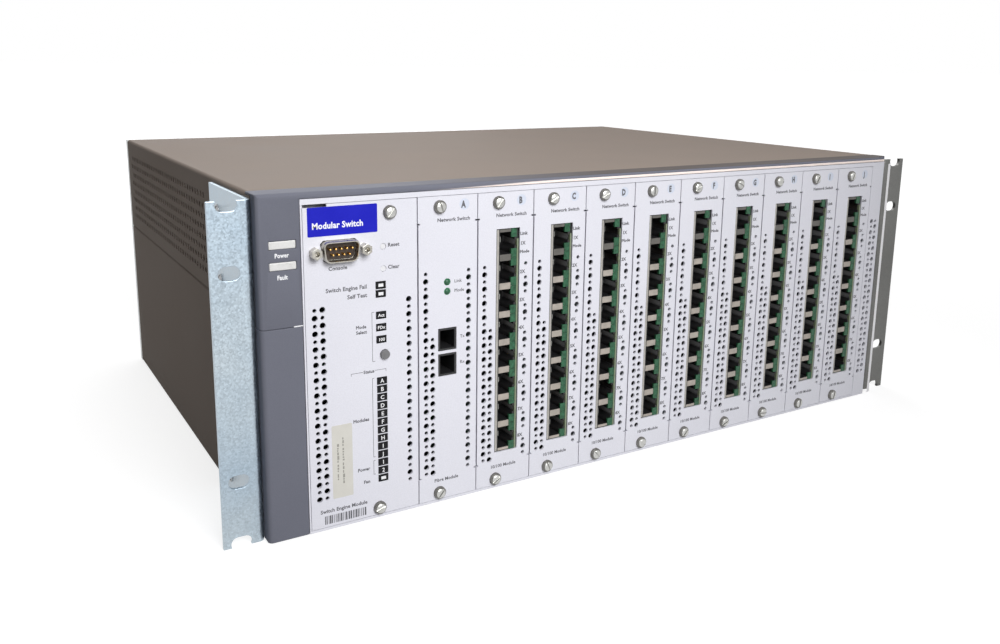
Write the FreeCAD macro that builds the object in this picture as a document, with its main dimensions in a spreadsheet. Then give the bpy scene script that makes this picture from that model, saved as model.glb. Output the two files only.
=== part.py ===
"""A rack-mount modular chassis switch: a sheet steel card cage with an engine
card, ten interface modules, two slide-in supplies and two exhaust fans.

Lengths are in millimetres.  +X is to the right seen from the front, the front
faces -Y and +Z is up.  The origin is below the middle of the whole object, on
the surface that it stands on."""
import FreeCAD, Part
import Sketcher
import math
import os
import re

Vector = FreeCAD.Vector

doc = FreeCAD.newDocument("modular_chassis_switch")

# ---------------------------------------------------------------- driving sizes
SIZES = {
    # The painted steel case
    "body_width": 442.0,
    "body_height": 171.0,
    "body_depth": 327.0,
    "sheet": 1.2,
    "seam_height": 107.5,
    "bend_radius": 2.0,
    "cover_ledge": 12.0,
    "side_window": 40.0,
    "side_window_pitch": 46.0,
    "side_window_start": 62.0,
    "side_window_sill": 5.0,
    "side_window_count": 5,
    # Running and seating gaps
    "seat_gap": 0.2,
    "edge_gap": 0.25,
    "guide_gap": 0.3,
    # Front frame, slots and panels
    "bezel_width": 20.6,
    "post_width": 0.8,
    "engine_width": 58.95,
    "slot_pitch": 34.28,
    "slot_count": 10,
    "plate_depth": 8.0,
    "plate_height": 163.2,
    "rail_bottom": 1.5,
    "lip_side": 5.0,
    "lip_height": 7.9,
    "head_lip": 12.9,
    "front_inset": 7.3,
    # Plastic bezel round the front
    "trim_height": 3.0,
    "trim_depth": 16.0,
    "bezel_edge_radius": 2.5,
    "bezel_wall": 2.0,
    "window_width": 13.0,
    "window_height": 4.0,
    "window_inset": 5.3,
    "power_window_height": 147.2,
    "fault_window_height": 137.2,
    "window_depth": 7.0,
    # Rack ears, to the nineteen inch hole pattern
    "rack_width": 482.6,
    "rack_hole_spacing": 465.1,
    "rack_slot_spacing": 101.6,
    "rack_slot_length": 10.2,
    "rack_slot_width": 6.8,
    "rack_notch_spacing": 165.1,
    "ear_height": 168.4,
    "ear_sheet": 2.0,
    "ear_setback": 5.6,
    "ear_side_depth": 70.0,
    "ear_bend_radius": 3.0,
    "ear_screw_setback": 54.0,
    "ear_screw_inner": 72.0,
    "ear_screw_outer": 144.0,
    # Cards that slide in the slots
    "card_thickness": 1.6,
    "card_inset": 25.3,
    "card_start": 2.4,
    "card_foot": 12.0,
    "card_height": 139.0,
    "backplane_setback": 214.0,
    "backplane_thickness": 2.4,
    "backplane_margin": 6.0,
    "plug_depth": 9.0,
    "plug_width": 7.0,
    "plug_height": 88.0,
    "guide_floor": 1.5,
    "guide_rib": 1.6,
    "guide_bite": 3.0,
    "guide_length": 190.0,
    # Captive panel screws
    "captive_head_radius": 3.3,
    "captive_head": 3.6,
    "captive_collar": 0.8,
    "captive_shank_radius": 1.5,
    "captive_slot": 0.9,
    "head_sides": 12,
    "shank_sides": 8,
    "captive_top": 5.85,
    "captive_bottom": 3.9,
    "captive_inset": 12.0,
    "engine_screw_low": 36.4,
    "engine_screw_high": 44.1,
    "shank_gap": 0.1,
    # Port blocks of the copper modules
    "port_inset": 11.7,
    "port_width": 13.3,
    "port_pitch": 15.54,
    "port_count": 8,
    "port_foot": 19.1,
    "port_setback": 0.9,
    "port_block_depth": 17.0,
    "jack_width": 11.9,
    "jack_height": 7.4,
    "jack_depth": 13.0,
    "jack_side": 3.6,
    "latch_width": 6.2,
    "latch_depth": 1.7,
    "latch_key_width": 3.4,
    # Fibre module
    "fibre_inset": 11.7,
    "fibre_width": 10.2,
    "fibre_height": 11.7,
    "fibre_foot": 68.7,
    "fibre_pitch": 13.7,
    "fibre_depth": 24.0,
    "fibre_wall": 0.9,
    "ferrule_radius": 1.25,
    "ferrule_length": 9.0,
    "lamp_radius": 1.8,
    "lamp_height": 113.7,
    "lamp_pitch": 5.0,
    "lamp_inset": 16.7,
    "lamp_length": 7.0,
    # Engine card
    "engine_card_inset": 44.6,
    "console_inset": 17.7,
    "console_height": 140.4,
    "shell_width": 19.0,
    "shell_height": 10.6,
    "shell_slant": 1.6,
    "shell_wall": 0.8,
    "shell_stand": 4.0,
    "shell_back": 8.0,
    "shell_flange_width": 31.0,
    "shell_flange_height": 12.6,
    "pin_pitch": 2.77,
    "pin_row": 2.84,
    "pin_radius": 0.5,
    "pin_length": 5.2,
    "jack_screw_spacing": 25.0,
    "jack_screw_flats": 5.0,
    "jack_screw_length": 4.4,
    "jack_screw_hole": 1.4,
    "indicator_inset": 38.6,
    "indicator_width": 5.3,
    "indicator_height": 3.7,
    "indicator_proud": 0.2,
    "indicator_depth": 5.0,
    "status_foot": 19.7,
    "status_pitch": 4.355,
    "status_count": 13,
    "mode_foot": 93.5,
    "mode_pitch": 6.24,
    "mode_count": 3,
    "test_foot": 116.9,
    "test_pitch": 4.32,
    "test_count": 2,
    "button_inset": 40.2,
    "mode_button_height": 85.7,
    "mode_button_radius": 2.3,
    "mode_button_stand": 1.6,
    "reset_button_height": 140.4,
    "clear_button_height": 129.3,
    "small_button_radius": 1.4,
    "small_button_sink": 0.3,
    "button_gap": 0.15,
    "button_stem": 0.9,
    "button_travel": 1.2,
    "button_skirt": 0.9,
    "switch_size": 6.0,
    # Rear panel, supplies and fans
    "rear_rim": 6.0,
    "supply_width": 195.0,
    "supply_height": 71.5,
    "supply_foot": 3.5,
    "supply_middle": 106.0,
    "supply_length": 100.0,
    "supply_panel_lap": 4.0,
    "supply_handle": 14.0,
    "supply_handle_span": 60.0,
    "supply_handle_sheet": 2.5,
    "supply_handle_width": 9.0,
    "supply_knob_radius": 4.5,
    "supply_knob": 8.0,
    "supply_vent_width": 2.6,
    "supply_vent_height": 34.0,
    "supply_vent_pitch": 6.0,
    "supply_vent_count": 8,
    "inlet_width": 27.0,
    "inlet_height": 19.8,
    "inlet_mouth_width": 24.0,
    "inlet_mouth_height": 16.4,
    "inlet_mouth_depth": 16.0,
    "inlet_flange": 3.0,
    "inlet_corner": 4.5,
    "inlet_body_depth": 20.0,
    "blade_width": 2.0,
    "blade_height": 4.0,
    "blade_length": 11.0,
    "blade_spread": 7.0,
    "fan_size": 60.0,
    "fan_depth": 25.0,
    "fan_spacing": 220.0,
    "fan_height": 126.0,
    "fan_duct_radius": 28.6,
    "fan_hub_radius": 13.0,
    "fan_tip_gap": 0.8,
    "fan_blade": 1.4,
    "fan_blade_count": 7,
    "fan_hole_spacing": 50.0,
    "fan_strut": 4.0,
    "fan_axle_radius": 1.5,
    "fan_axle_gap": 0.05,
    "grille_slot": 3.6,
    "grille_pitch": 6.4,
    "grille_count": 9,
    # Fixing screws
    "screw_head_radius": 2.9,
    "screw_head": 1.4,
    "screw_shank_radius": 1.5,
}

sheet = doc.addObject("Spreadsheet::Sheet", "Sizes")
for row, (alias, size) in enumerate(SIZES.items(), 1):
    sheet.set(f"A{row}", alias)
    sheet.set(f"B{row}", str(size))
    sheet.setAlias(f"B{row}", alias)
doc.recompute()


def cells(text):
    """An expression in which each size is written as a cell of the sheet."""
    return re.sub(r"[a-z_]+", lambda word: "Sizes." + word[0] if word[0] in SIZES else word[0], text)


def value(text):
    """The number that an expression of sizes comes to."""
    return float(sheet.evalExpression(cells(text)))


# Places shared by several pieces.  Depths count back from the front plane, which
# the fronts of the panels lie in.
REAR_FACE = "(body_depth + seat_gap)"
SUPPLY_PANEL = f"({REAR_FACE} + sheet + seat_gap)"
REAR_END = f"({SUPPLY_PANEL} + sheet + supply_handle)"
FRONT = f"((captive_head + captive_collar - {REAR_END})/2)"
LEFT = "(-body_width/2)"
FRAME_DEPTH = "(plate_depth + seat_gap + sheet)"
RECESS_LEFT = "(bezel_width + post_width)"
FIRST_SLOT = f"({RECESS_LEFT} + engine_width)"
RECESS_RIGHT = f"({FIRST_SLOT} + slot_count*slot_pitch)"
SHOULDER = "(body_width - front_inset)"
RECESS_TOP = "(rail_bottom + plate_height + 2*edge_gap)"
PLATE_FOOT = "(rail_bottom + edge_gap)"
TRIM_FOOT = "(body_height - trim_height)"
WINDOW_FOOT = "(rail_bottom + lip_height)"
WINDOW_TOP = f"({RECESS_TOP} - head_lip)"
CARD_TOP = "(card_foot + card_height)"
CARD_END = "(backplane_setback - plug_depth - seat_gap)"


# ---------------------------------------------------------------- ways of making
def bind(item, **sizes):
    """Tie properties of an object to sizes of the sheet."""
    for name, text in sizes.items():
        item.setExpression(name, cells(text))
    return item


def place(item, x="0", depth="0", height="0"):
    """Stand an object at a distance across, behind the front plane and above the foot."""
    item.setExpression("Placement.Base.x", cells(x))
    item.setExpression("Placement.Base.y", cells(f"{FRONT} + {depth}"))
    item.setExpression("Placement.Base.z", cells(height))
    return item


def new_body(label):
    body = doc.addObject("PartDesign::Body", label)
    body.Label = label
    return body


def new_sketch(body, plane, lift="0"):
    """An empty sketch on one of the body's own planes, lifted along its normal."""
    sketch = body.newObject("Sketcher::SketchObject", f"{body.Label}_outline")
    origin = [face for face in body.Origin.OriginFeatures if face.Role == plane]
    sketch.AttachmentSupport = (origin[0], [""])
    sketch.MapMode = "FlatFace"
    sketch.setExpression("AttachmentOffset.Base.z", cells(lift))
    return sketch


def add_loop(sketch, corners):
    """A closed run of straight edges, each corner held by its two distances."""
    first = sketch.GeometryCount
    spots = [(value(across), value(along)) for across, along in corners]
    for index, spot in enumerate(spots):
        after = spots[(index + 1) % len(spots)]
        sketch.addGeometry(Part.LineSegment(Vector(*spot, 0), Vector(*after, 0)), False)
    for index in range(len(spots)):
        after = (index + 1) % len(spots)
        sketch.addConstraint(Sketcher.Constraint("Coincident", first + index, 2, first + after, 1))
    for index, corner in enumerate(corners):
        for kind, text in zip(("DistanceX", "DistanceY"), corner):
            held = Sketcher.Constraint(kind, -1, 1, first + index, 1, value(text))
            number = sketch.addConstraint(held)
            sketch.setExpression(f"Constraints[{number}]", cells(text))


def add_circle(sketch, across, along, radius):
    """A circle held by its centre's two distances and its radius."""
    middle = Vector(value(across), value(along), 0)
    circle = sketch.addGeometry(Part.Circle(middle, Vector(0, 0, 1), value(radius)), False)
    for kind, text in (("DistanceX", across), ("DistanceY", along)):
        number = sketch.addConstraint(Sketcher.Constraint(kind, -1, 1, circle, 3, value(text)))
        sketch.setExpression(f"Constraints[{number}]", cells(text))
    number = sketch.addConstraint(Sketcher.Constraint("Radius", circle, value(radius)))
    sketch.setExpression(f"Constraints[{number}]", cells(radius))


def add_ring(sketch, across, along, radius, sides):
    """A regular polygon about a point, its corners on a circle."""
    corners = []
    for number in range(int(value(sides))):
        angle = math.radians(360*(number + 0.5)/value(sides))
        corners.append((f"{across} + {math.cos(angle):.6f}*({radius})",
                        f"{along} + {math.sin(angle):.6f}*({radius})"))
    add_loop(sketch, corners)


def block(across, along, width, height):
    """Corners of a rectangle from its near corner and its two sizes."""
    right = f"{across} + {width}"
    top = f"{along} + {height}"
    return [(across, along), (right, along), (right, top), (across, top)]


def pad(body, sketch, length, backwards=False):
    feature = body.newObject("PartDesign::Pad", f"{body.Label}_pad")
    feature.Profile = sketch
    feature.Reversed = backwards
    bind(feature, Length=length)
    return feature


def pocket(body, sketch, length=None, backwards=False):
    """A pocket of a stated depth, or one that cuts through everything."""
    feature = body.newObject("PartDesign::Pocket", f"{body.Label}_pocket")
    feature.Profile = sketch
    feature.Reversed = backwards
    if length is None:
        feature.Type = "ThroughAll"
    else:
        bind(feature, Length=length)
    return feature


def pad_blocks(body, plane, loops, length, lift="0", backwards=False):
    """A pad of one or more closed outlines drawn in one sketch."""
    sketch = new_sketch(body, plane, lift)
    for corners in loops:
        add_loop(sketch, corners)
    return pad(body, sketch, length, backwards)


def cut_blocks(body, plane, loops, length=None, lift="0", backwards=False):
    """A pocket of one or more closed outlines drawn in one sketch."""
    sketch = new_sketch(body, plane, lift)
    for corners in loops:
        add_loop(sketch, corners)
    return pocket(body, sketch, length, backwards)


def cut_discs(body, plane, discs, length=None, lift="0", backwards=False):
    """A pocket of round holes, each given as across, along and radius."""
    sketch = new_sketch(body, plane, lift)
    for across, along, radius in discs:
        add_circle(sketch, across, along, radius)
    return pocket(body, sketch, length, backwards)


def cut_rings(body, plane, rings, length=None, lift="0", backwards=False):
    """A pocket of screw holes, each given as across, along and radius."""
    sketch = new_sketch(body, plane, lift)
    for across, along, radius in rings:
        add_ring(sketch, across, along, radius, "shank_sides")
    return pocket(body, sketch, length, backwards)


def round_edges(body, radius, wanted):
    """Fillet the straight edges of a body for which wanted(start, end) holds."""
    doc.recompute()
    tip = body.Tip
    names = []
    for number, edge in enumerate(tip.Shape.Edges, 1):
        ends = [vertex.Point for vertex in edge.Vertexes]
        if len(ends) == 2 and isinstance(edge.Curve, Part.Line) and wanted(*ends):
            names.append(f"Edge{number}")
    feature = body.newObject("PartDesign::Fillet", f"{body.Label}_fillet")
    feature.Base = (tip, names)
    bind(feature, Radius=radius)
    return feature


def runs_along(start, end, **fixed):
    """True where both ends of an edge lie at the stated coordinates."""
    return all(abs(getattr(start, axis) - at) < 0.01 and abs(getattr(end, axis) - at) < 0.01
               for axis, at in fixed.items())


def repeat(body, feature, axis, pitch, count):
    """Copies of the last feature along one of the body's own axes."""
    pattern = body.newObject("PartDesign::LinearPattern", f"{body.Label}_row")
    pattern.Originals = [feature]
    line = [item for item in body.Origin.OriginFeatures if item.Role == axis]
    pattern.Direction = (line[0], [""])
    pattern.Occurrences = int(value(count))
    bind(pattern, Length=f"{pitch}*({count} - 1)", Occurrences=count)
    body.Tip = pattern
    return pattern


def box(label, x, depth, height, width, length, rise):
    """A plain block placed from its near lower left corner."""
    item = doc.addObject("Part::Box", label)
    item.Label = label
    bind(item, Width=length, Length=width, Height=rise)
    return place(item, x, depth, height)


def fused(label, pieces):
    item = doc.addObject("Part::MultiFuse", label)
    item.Label = label
    item.Shapes = pieces
    return item


def grouped(label, pieces):
    """Separate solids that are kept in one file."""
    item = doc.addObject("Part::Compound", label)
    item.Label = label
    item.Links = pieces
    return item


def turned(body, profile, label=None):
    """A full turn of an outline about the body's own Y axis: across is the
    radius and along is the distance back."""
    sketch = new_sketch(body, "XY_Plane")
    add_loop(sketch, profile)
    feature = body.newObject("PartDesign::Revolution", label or f"{body.Label}_turned")
    feature.Profile = sketch
    line = [item for item in body.Origin.OriginFeatures if item.Role == "Y_Axis"]
    feature.ReferenceAxis = (line[0], [""])
    feature.Angle = 360
    return feature


nodes = {}


def node(item):
    """Keep an object as one of the sub-parts that are written out."""
    nodes[item.Label] = item
    return item


# ---------------------------------------------------------------- chassis base
def make_base():
    """The folded base: a floor and two side walls that step in above the seam,
    so that the cover's skirts lie flush with them, with a ledge for the cover
    along each top edge and air windows behind the cover's perforations."""
    body = new_body("chassis_base")
    step = "(sheet + seat_gap)"
    bend = f"(seam_height - seat_gap - {step})"
    ledge = f"(body_height - sheet - seat_gap)"
    right = [
        ("body_width", "0"),
        ("body_width", bend),
        (f"body_width - {step}", f"{bend} + {step}"),
        (f"body_width - {step}", ledge),
        (f"body_width - {step} - cover_ledge", ledge),
        (f"body_width - {step} - cover_ledge", f"{ledge} - sheet"),
        (f"body_width - {step} - sheet", f"{ledge} - sheet"),
        (f"body_width - {step} - sheet", f"{bend} + {step}"),
        ("body_width - sheet", bend),
        ("body_width - sheet", "sheet"),
    ]
    left = [(f"body_width - ({across})", along) for across, along in reversed(right)]
    start = f"({FRAME_DEPTH} + seat_gap)"
    pad_blocks(body, "XZ_Plane", [right + left], f"body_depth - {start}", backwards=True)
    sill = "(seam_height + side_window_sill)"
    rise = f"{ledge} - sheet - side_window_sill - {sill}"
    window = cut_blocks(body, "YZ_Plane", [block("side_window_start", sill, "side_window", rise)],
                        backwards=True)
    repeat(body, window, "Y_Axis", "side_window_pitch", "side_window_count")
    wide = value("body_width")
    round_edges(body, "bend_radius",
                lambda a, b: runs_along(a, b, x=0, z=0) or runs_along(a, b, x=wide, z=0))
    place(body, LEFT, start)
    return node(body)


# ---------------------------------------------------------------- top cover
def make_cover():
    """The cover: one folded sheet whose skirts reach down to the seam, cut back
    at the front where the bezel's top strip lies."""
    body = new_body("top_cover")
    rise = "(body_height - seam_height)"
    section = [
        ("0", "0"),
        ("sheet", "0"),
        ("sheet", f"{rise} - sheet"),
        ("body_width - sheet", f"{rise} - sheet"),
        ("body_width - sheet", "0"),
        ("body_width", "0"),
        ("body_width", rise),
        ("0", rise),
    ]
    start = f"({FRAME_DEPTH} + seat_gap)"
    pad_blocks(body, "XZ_Plane", [section], f"body_depth - {start}", backwards=True)
    wide, high = value("body_width"), value(rise)
    round_edges(body, "bend_radius",
                lambda a, b: runs_along(a, b, x=0, z=high) or runs_along(a, b, x=wide, z=high))
    strip = f"(trim_depth + seat_gap - {start})"
    cut_blocks(body, "XY_Plane", [block("0", "0", "body_width", strip)], "sheet + seat_gap", lift=rise)
    place(body, LEFT, start, "seam_height")
    return node(body)


# ---------------------------------------------------------------- front frame
def make_front_frame():
    """The plated steel frame that carries the front: a recess that the module
    panels lie in, lips behind them that their screws bite into, a skin behind
    the bezel column and, at the right, a vented margin that steps back to the
    rack ear."""
    body = new_body("front_frame")
    margin = "(body_width - seat_gap)"
    top = f"({TRIM_FOOT} - seat_gap)"
    skin = f"({FRAME_DEPTH} - sheet)"
    pad_blocks(body, "XZ_Plane", [block("seat_gap", "seat_gap", f"{margin} - seat_gap", f"{top} - seat_gap")],
               FRAME_DEPTH, backwards=True)
    cut_blocks(body, "XZ_Plane", [block("0", "0", "bezel_width", "body_height")], skin)
    cut_blocks(body, "XZ_Plane", [block(RECESS_LEFT, "rail_bottom", f"{RECESS_RIGHT} - {RECESS_LEFT}",
                                        f"{RECESS_TOP} - rail_bottom")], skin)
    window_left = f"({RECESS_LEFT} + lip_side)"
    cut_blocks(body, "XZ_Plane", [block(window_left, WINDOW_FOOT,
                                        f"{RECESS_RIGHT} - lip_side - {window_left}",
                                        f"{WINDOW_TOP} - {WINDOW_FOOT}")])
    cut_blocks(body, "XZ_Plane", [block(SHOULDER, "0", "front_inset", "body_height")], "ear_setback")
    hollow_left = f"({RECESS_RIGHT} + sheet)"
    inside = f"({SHOULDER} - sheet)"
    hollow_rise = f"{top} - 3*sheet"
    cut_blocks(body, "XZ_Plane", [block(hollow_left, "2*sheet", f"{inside} - {hollow_left}", hollow_rise)],
               skin, lift=f"-{FRAME_DEPTH}", backwards=True)
    cut_blocks(body, "XZ_Plane", [block(inside, "2*sheet", f"{margin} - sheet - {inside}", hollow_rise)],
               f"{FRAME_DEPTH} - ear_setback - sheet", lift=f"-{FRAME_DEPTH}", backwards=True)
    hole = "captive_shank_radius + shank_gap"
    low, high = f"{PLATE_FOOT} + captive_bottom", f"{PLATE_FOOT} + plate_height - captive_top"
    slot_holes = cut_rings(body, "XZ_Plane", [(f"{FIRST_SLOT} + captive_inset", up, hole) for up in (low, high)])
    repeat(body, slot_holes, "X_Axis", "slot_pitch", "slot_count")
    cut_rings(body, "XZ_Plane", [(across, height, hole) for across, height in engine_screw_spots()])
    place(body, LEFT)
    return node(body)


def slot_lefts():
    """Left edge of each slot, from the chassis's left side."""
    return [f"{FIRST_SLOT} + {number}*slot_pitch" for number in range(int(value("slot_count")))]


def engine_screw_spots():
    """The engine panel's two captive screws, from the chassis's left foot."""
    return [
        (f"{RECESS_LEFT} + engine_screw_low", f"{PLATE_FOOT} + captive_bottom"),
        (f"{RECESS_LEFT} + engine_screw_high", f"{PLATE_FOOT} + plate_height - captive_top"),
    ]


# ---------------------------------------------------------------- plastic bezel
def make_bezel():
    """The moulded bezel: an upper piece, whose column carries the two lamp
    windows and whose top strip runs along the whole front, and a lower piece.
    Both are open behind, with an even wall."""
    upper = new_body("bezel_upper")
    foot = "(seam_height + seat_gap/2)"
    column = [
        ("0", "0"),
        ("bezel_width - seat_gap", "0"),
        ("bezel_width - seat_gap", f"{TRIM_FOOT} - {foot}"),
        ("body_width", f"{TRIM_FOOT} - {foot}"),
        ("body_width", f"body_height - {foot}"),
        ("0", f"body_height - {foot}"),
    ]
    pad_blocks(upper, "XZ_Plane", [column], "plate_depth", backwards=True)
    pad_blocks(upper, "XZ_Plane", [block("0", f"body_height - sheet - {foot}", "body_width", "sheet")],
               "trim_depth - plate_depth + 1", lift="1 - plate_depth", backwards=True)
    cut_blocks(upper, "XZ_Plane", [block(SHOULDER, "0", "front_inset", "body_height")], "ear_setback")
    high = value(f"body_height - {foot}")
    round_edges(upper, "bezel_edge_radius",
                lambda a, b: (runs_along(a, b, x=0, y=0) or runs_along(a, b, y=0, z=high)))
    hollow_bezel(upper, f"{TRIM_FOOT} - {foot}")
    for height in ("power_window_height", "fault_window_height"):
        cut_blocks(upper, "XZ_Plane", [block("window_inset", f"{height} - window_height/2 - {foot}",
                                             "window_width", "window_height")], "bezel_wall + 1")
    place(upper, LEFT, height=foot)
    node(upper)

    lower = new_body("bezel_lower")
    rise = "(seam_height - seat_gap/2 - seat_gap)"
    pad_blocks(lower, "XZ_Plane", [block("0", "0", "bezel_width - seat_gap", rise)],
               "plate_depth", backwards=True)
    round_edges(lower, "bezel_edge_radius", lambda a, b: runs_along(a, b, x=0, y=0))
    hollow_bezel(lower, rise)
    place(lower, LEFT, height="seat_gap")
    node(lower)

    lights = []
    for name, height in (("power_window", "power_window_height"), ("fault_window", "fault_window_height")):
        lights.append(box(name, f"{LEFT} + window_inset + edge_gap/2", "seat_gap",
                          f"{height} - window_height/2 + edge_gap/2",
                          "window_width - edge_gap", "window_depth", "window_height - edge_gap"))
    node(grouped("bezel_windows", lights))


def hollow_bezel(body, rise):
    """Open a column of the bezel from behind."""
    cut_blocks(body, "XZ_Plane", [block("bezel_wall", "bezel_wall",
                                        "bezel_width - seat_gap - 2*bezel_wall",
                                        f"{rise} - 2*bezel_wall")],
               "plate_depth - bezel_wall", lift="-plate_depth", backwards=True)


# ---------------------------------------------------------------- rack ears
def make_ears():
    """Two folded L brackets.  Each front flange has two horizontal slots and,
    cut by its ends, the halves of two more; each side flange lies on the
    chassis wall and has four screw holes."""
    reach = "((rack_width - body_width)/2)"
    for label, sign in (("rack_ear_left", "-1"), ("rack_ear_right", "1")):
        body = new_body(label)
        inner = f"{sign}*seat_gap/4"
        outer = f"{sign}*{reach}"
        fold = f"{sign}*(seat_gap/4 + ear_sheet)"
        pad_blocks(body, "XY_Plane", [[
            (inner, "0"), (outer, "0"), (outer, "ear_sheet"), (fold, "ear_sheet"),
            (fold, "ear_side_depth"), (inner, "ear_side_depth")]], "ear_height")
        corner = value(inner)
        round_edges(body, "ear_bend_radius", lambda a, b: runs_along(a, b, x=corner, y=0))
        middle = f"{sign}*(rack_hole_spacing - body_width)/2"
        slots = [f"ear_height/2 {way} {gap}/2" for gap in ("rack_slot_spacing", "rack_notch_spacing")
                 for way in "+-"]
        straight = "(rack_slot_length - rack_slot_width)"
        for height in slots:
            cut_slot(body, middle, height, straight, "rack_slot_width/2")
        spots = [("ear_screw_setback", height, "screw_shank_radius + shank_gap")
                 for height in ear_screw_heights()]
        cut_rings(body, "YZ_Plane", spots, "3*ear_sheet", lift=f"{sign}*2*ear_sheet",
                  backwards=sign == "-1")
        place(body, f"{sign}*body_width/2", "ear_setback")
        node(body)


def ear_screw_heights():
    return [f"ear_height/2 {way} {gap}/2" for gap in ("ear_screw_inner", "ear_screw_outer") for way in "+-"]


def cut_slot(body, across, along, straight, radius):
    """A round-ended slot through a front wall: a rectangle and a disc at each end."""
    low, high = f"{across} - {straight}/2", f"{across} + {straight}/2"
    cut_blocks(body, "XZ_Plane", [block(low, f"{along} - ({radius})", straight, f"2*({radius})")])
    cut_discs(body, "XZ_Plane", [(low, along, radius)])
    cut_discs(body, "XZ_Plane", [(high, along, radius)])


# ---------------------------------------------------------------- screws
def make_captive(label, x, height):
    """A captive screw: a slotted head that stands clear of its panel and a
    shank that bites into the frame."""
    body = new_body(label)
    shank = new_sketch(body, "XZ_Plane", "captive_collar + 0.5")
    add_ring(shank, "0", "0", "captive_shank_radius", "shank_sides")
    pad(body, shank, f"captive_collar + 0.5 + {FRAME_DEPTH}", backwards=True)
    head = new_sketch(body, "XZ_Plane", "captive_collar")
    add_ring(head, "0", "0", "captive_head_radius", "head_sides")
    pad(body, head, "captive_head")
    cut_blocks(body, "XZ_Plane", [block("-2*captive_head_radius", "-captive_slot/2",
                                        "4*captive_head_radius", "captive_slot")],
               "captive_slot", lift="captive_collar + captive_head")
    return place(body, f"{LEFT} + {x}", height=height)


def make_screw(label, x, depth, height, axis, angle, length):
    """A low-headed fixing screw, turned about an axis so that its head faces
    outwards."""
    body = new_body(label)
    shank = new_sketch(body, "XZ_Plane")
    add_ring(shank, "0", "0", "screw_shank_radius", "shank_sides")
    pad(body, shank, length, backwards=True)
    head = new_sketch(body, "XZ_Plane")
    add_ring(head, "0", "0", "screw_head_radius", "head_sides")
    pad(body, head, "screw_head")
    body.Placement.Rotation = FreeCAD.Rotation(Vector(*axis), angle)
    return place(body, x, depth, height)


def make_chassis_screws():
    """The screws that hold the ears and the fans."""
    screws = []
    upright = (0, 0, 1)
    side = "(body_width/2 + seat_gap/4 + ear_sheet)"
    for number, height in enumerate(ear_screw_heights()):
        depth = "ear_setback + ear_screw_setback"
        screws.append(make_screw(f"ear_screw_left_{number}", f"-{side}", depth, height, upright, -90,
                                 "ear_sheet"))
        screws.append(make_screw(f"ear_screw_right_{number}", side, depth, height, upright, 90,
                                 "ear_sheet"))
    for fan, sign in (("left", "-1"), ("right", "1")):
        for number, (across, up) in enumerate(fan_hole_spots(sign)):
            screws.append(make_screw(f"fan_screw_{fan}_{number}", across,
                                     f"{REAR_FACE} + sheet", up, upright, 180, "sheet + fan_strut"))
    node(grouped("chassis_screws", screws))


def fan_hole_spots(sign):
    """The four screw places of a fan, across from the middle and up."""
    return [(f"{sign}*fan_spacing/2 {across} fan_hole_spacing/2", f"fan_height {up} fan_hole_spacing/2")
            for across in "+-" for up in "+-"]


# ---------------------------------------------------------------- rear panel
def make_rear_panel():
    """A plated tray that closes the back: a flat wall with a rim turned to the
    rear, windows for the two supplies and a slotted grille for each fan."""
    body = new_body("rear_panel")
    rim = "(body_width - 2*seat_gap)"
    rise = "(body_height - 2*seat_gap)"
    pad_blocks(body, "XZ_Plane", [block(f"-{rim}/2", "seat_gap", rim, rise)], "rear_rim", backwards=True)
    cut_blocks(body, "XZ_Plane", [block(f"sheet - {rim}/2", "seat_gap + sheet", f"{rim} - 2*sheet",
                                        f"{rise} - 2*sheet")],
               "rear_rim - sheet", lift="-rear_rim", backwards=True)
    windows = []
    for sign in ("-1", "1"):
        windows.append(block(f"{sign}*supply_middle - supply_width/2 - guide_gap",
                             "supply_foot - guide_gap",
                             "supply_width + 2*guide_gap", "supply_height + 2*guide_gap"))
    cut_blocks(body, "XZ_Plane", windows)
    slots = []
    holes = []
    for sign in ("-1", "1"):
        for number in range(int(value("grille_count"))):
            offset = f"({number} - (grille_count - 1)/2)*grille_pitch"
            half = math.sqrt(value("fan_duct_radius")**2 - (abs(value(offset)) + value("grille_slot")/2)**2)
            share = f"{half/value('fan_duct_radius'):.4f}*fan_duct_radius"
            slots.append(block(f"{sign}*fan_spacing/2 - {share}", f"fan_height + {offset} - grille_slot/2",
                               f"2*{share}", "grille_slot"))
        holes += [(across, up, "screw_shank_radius + shank_gap") for across, up in fan_hole_spots(sign)]
    cut_blocks(body, "XZ_Plane", slots)
    cut_rings(body, "XZ_Plane", holes)
    place(body, "0", REAR_FACE)
    return node(body)


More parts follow.
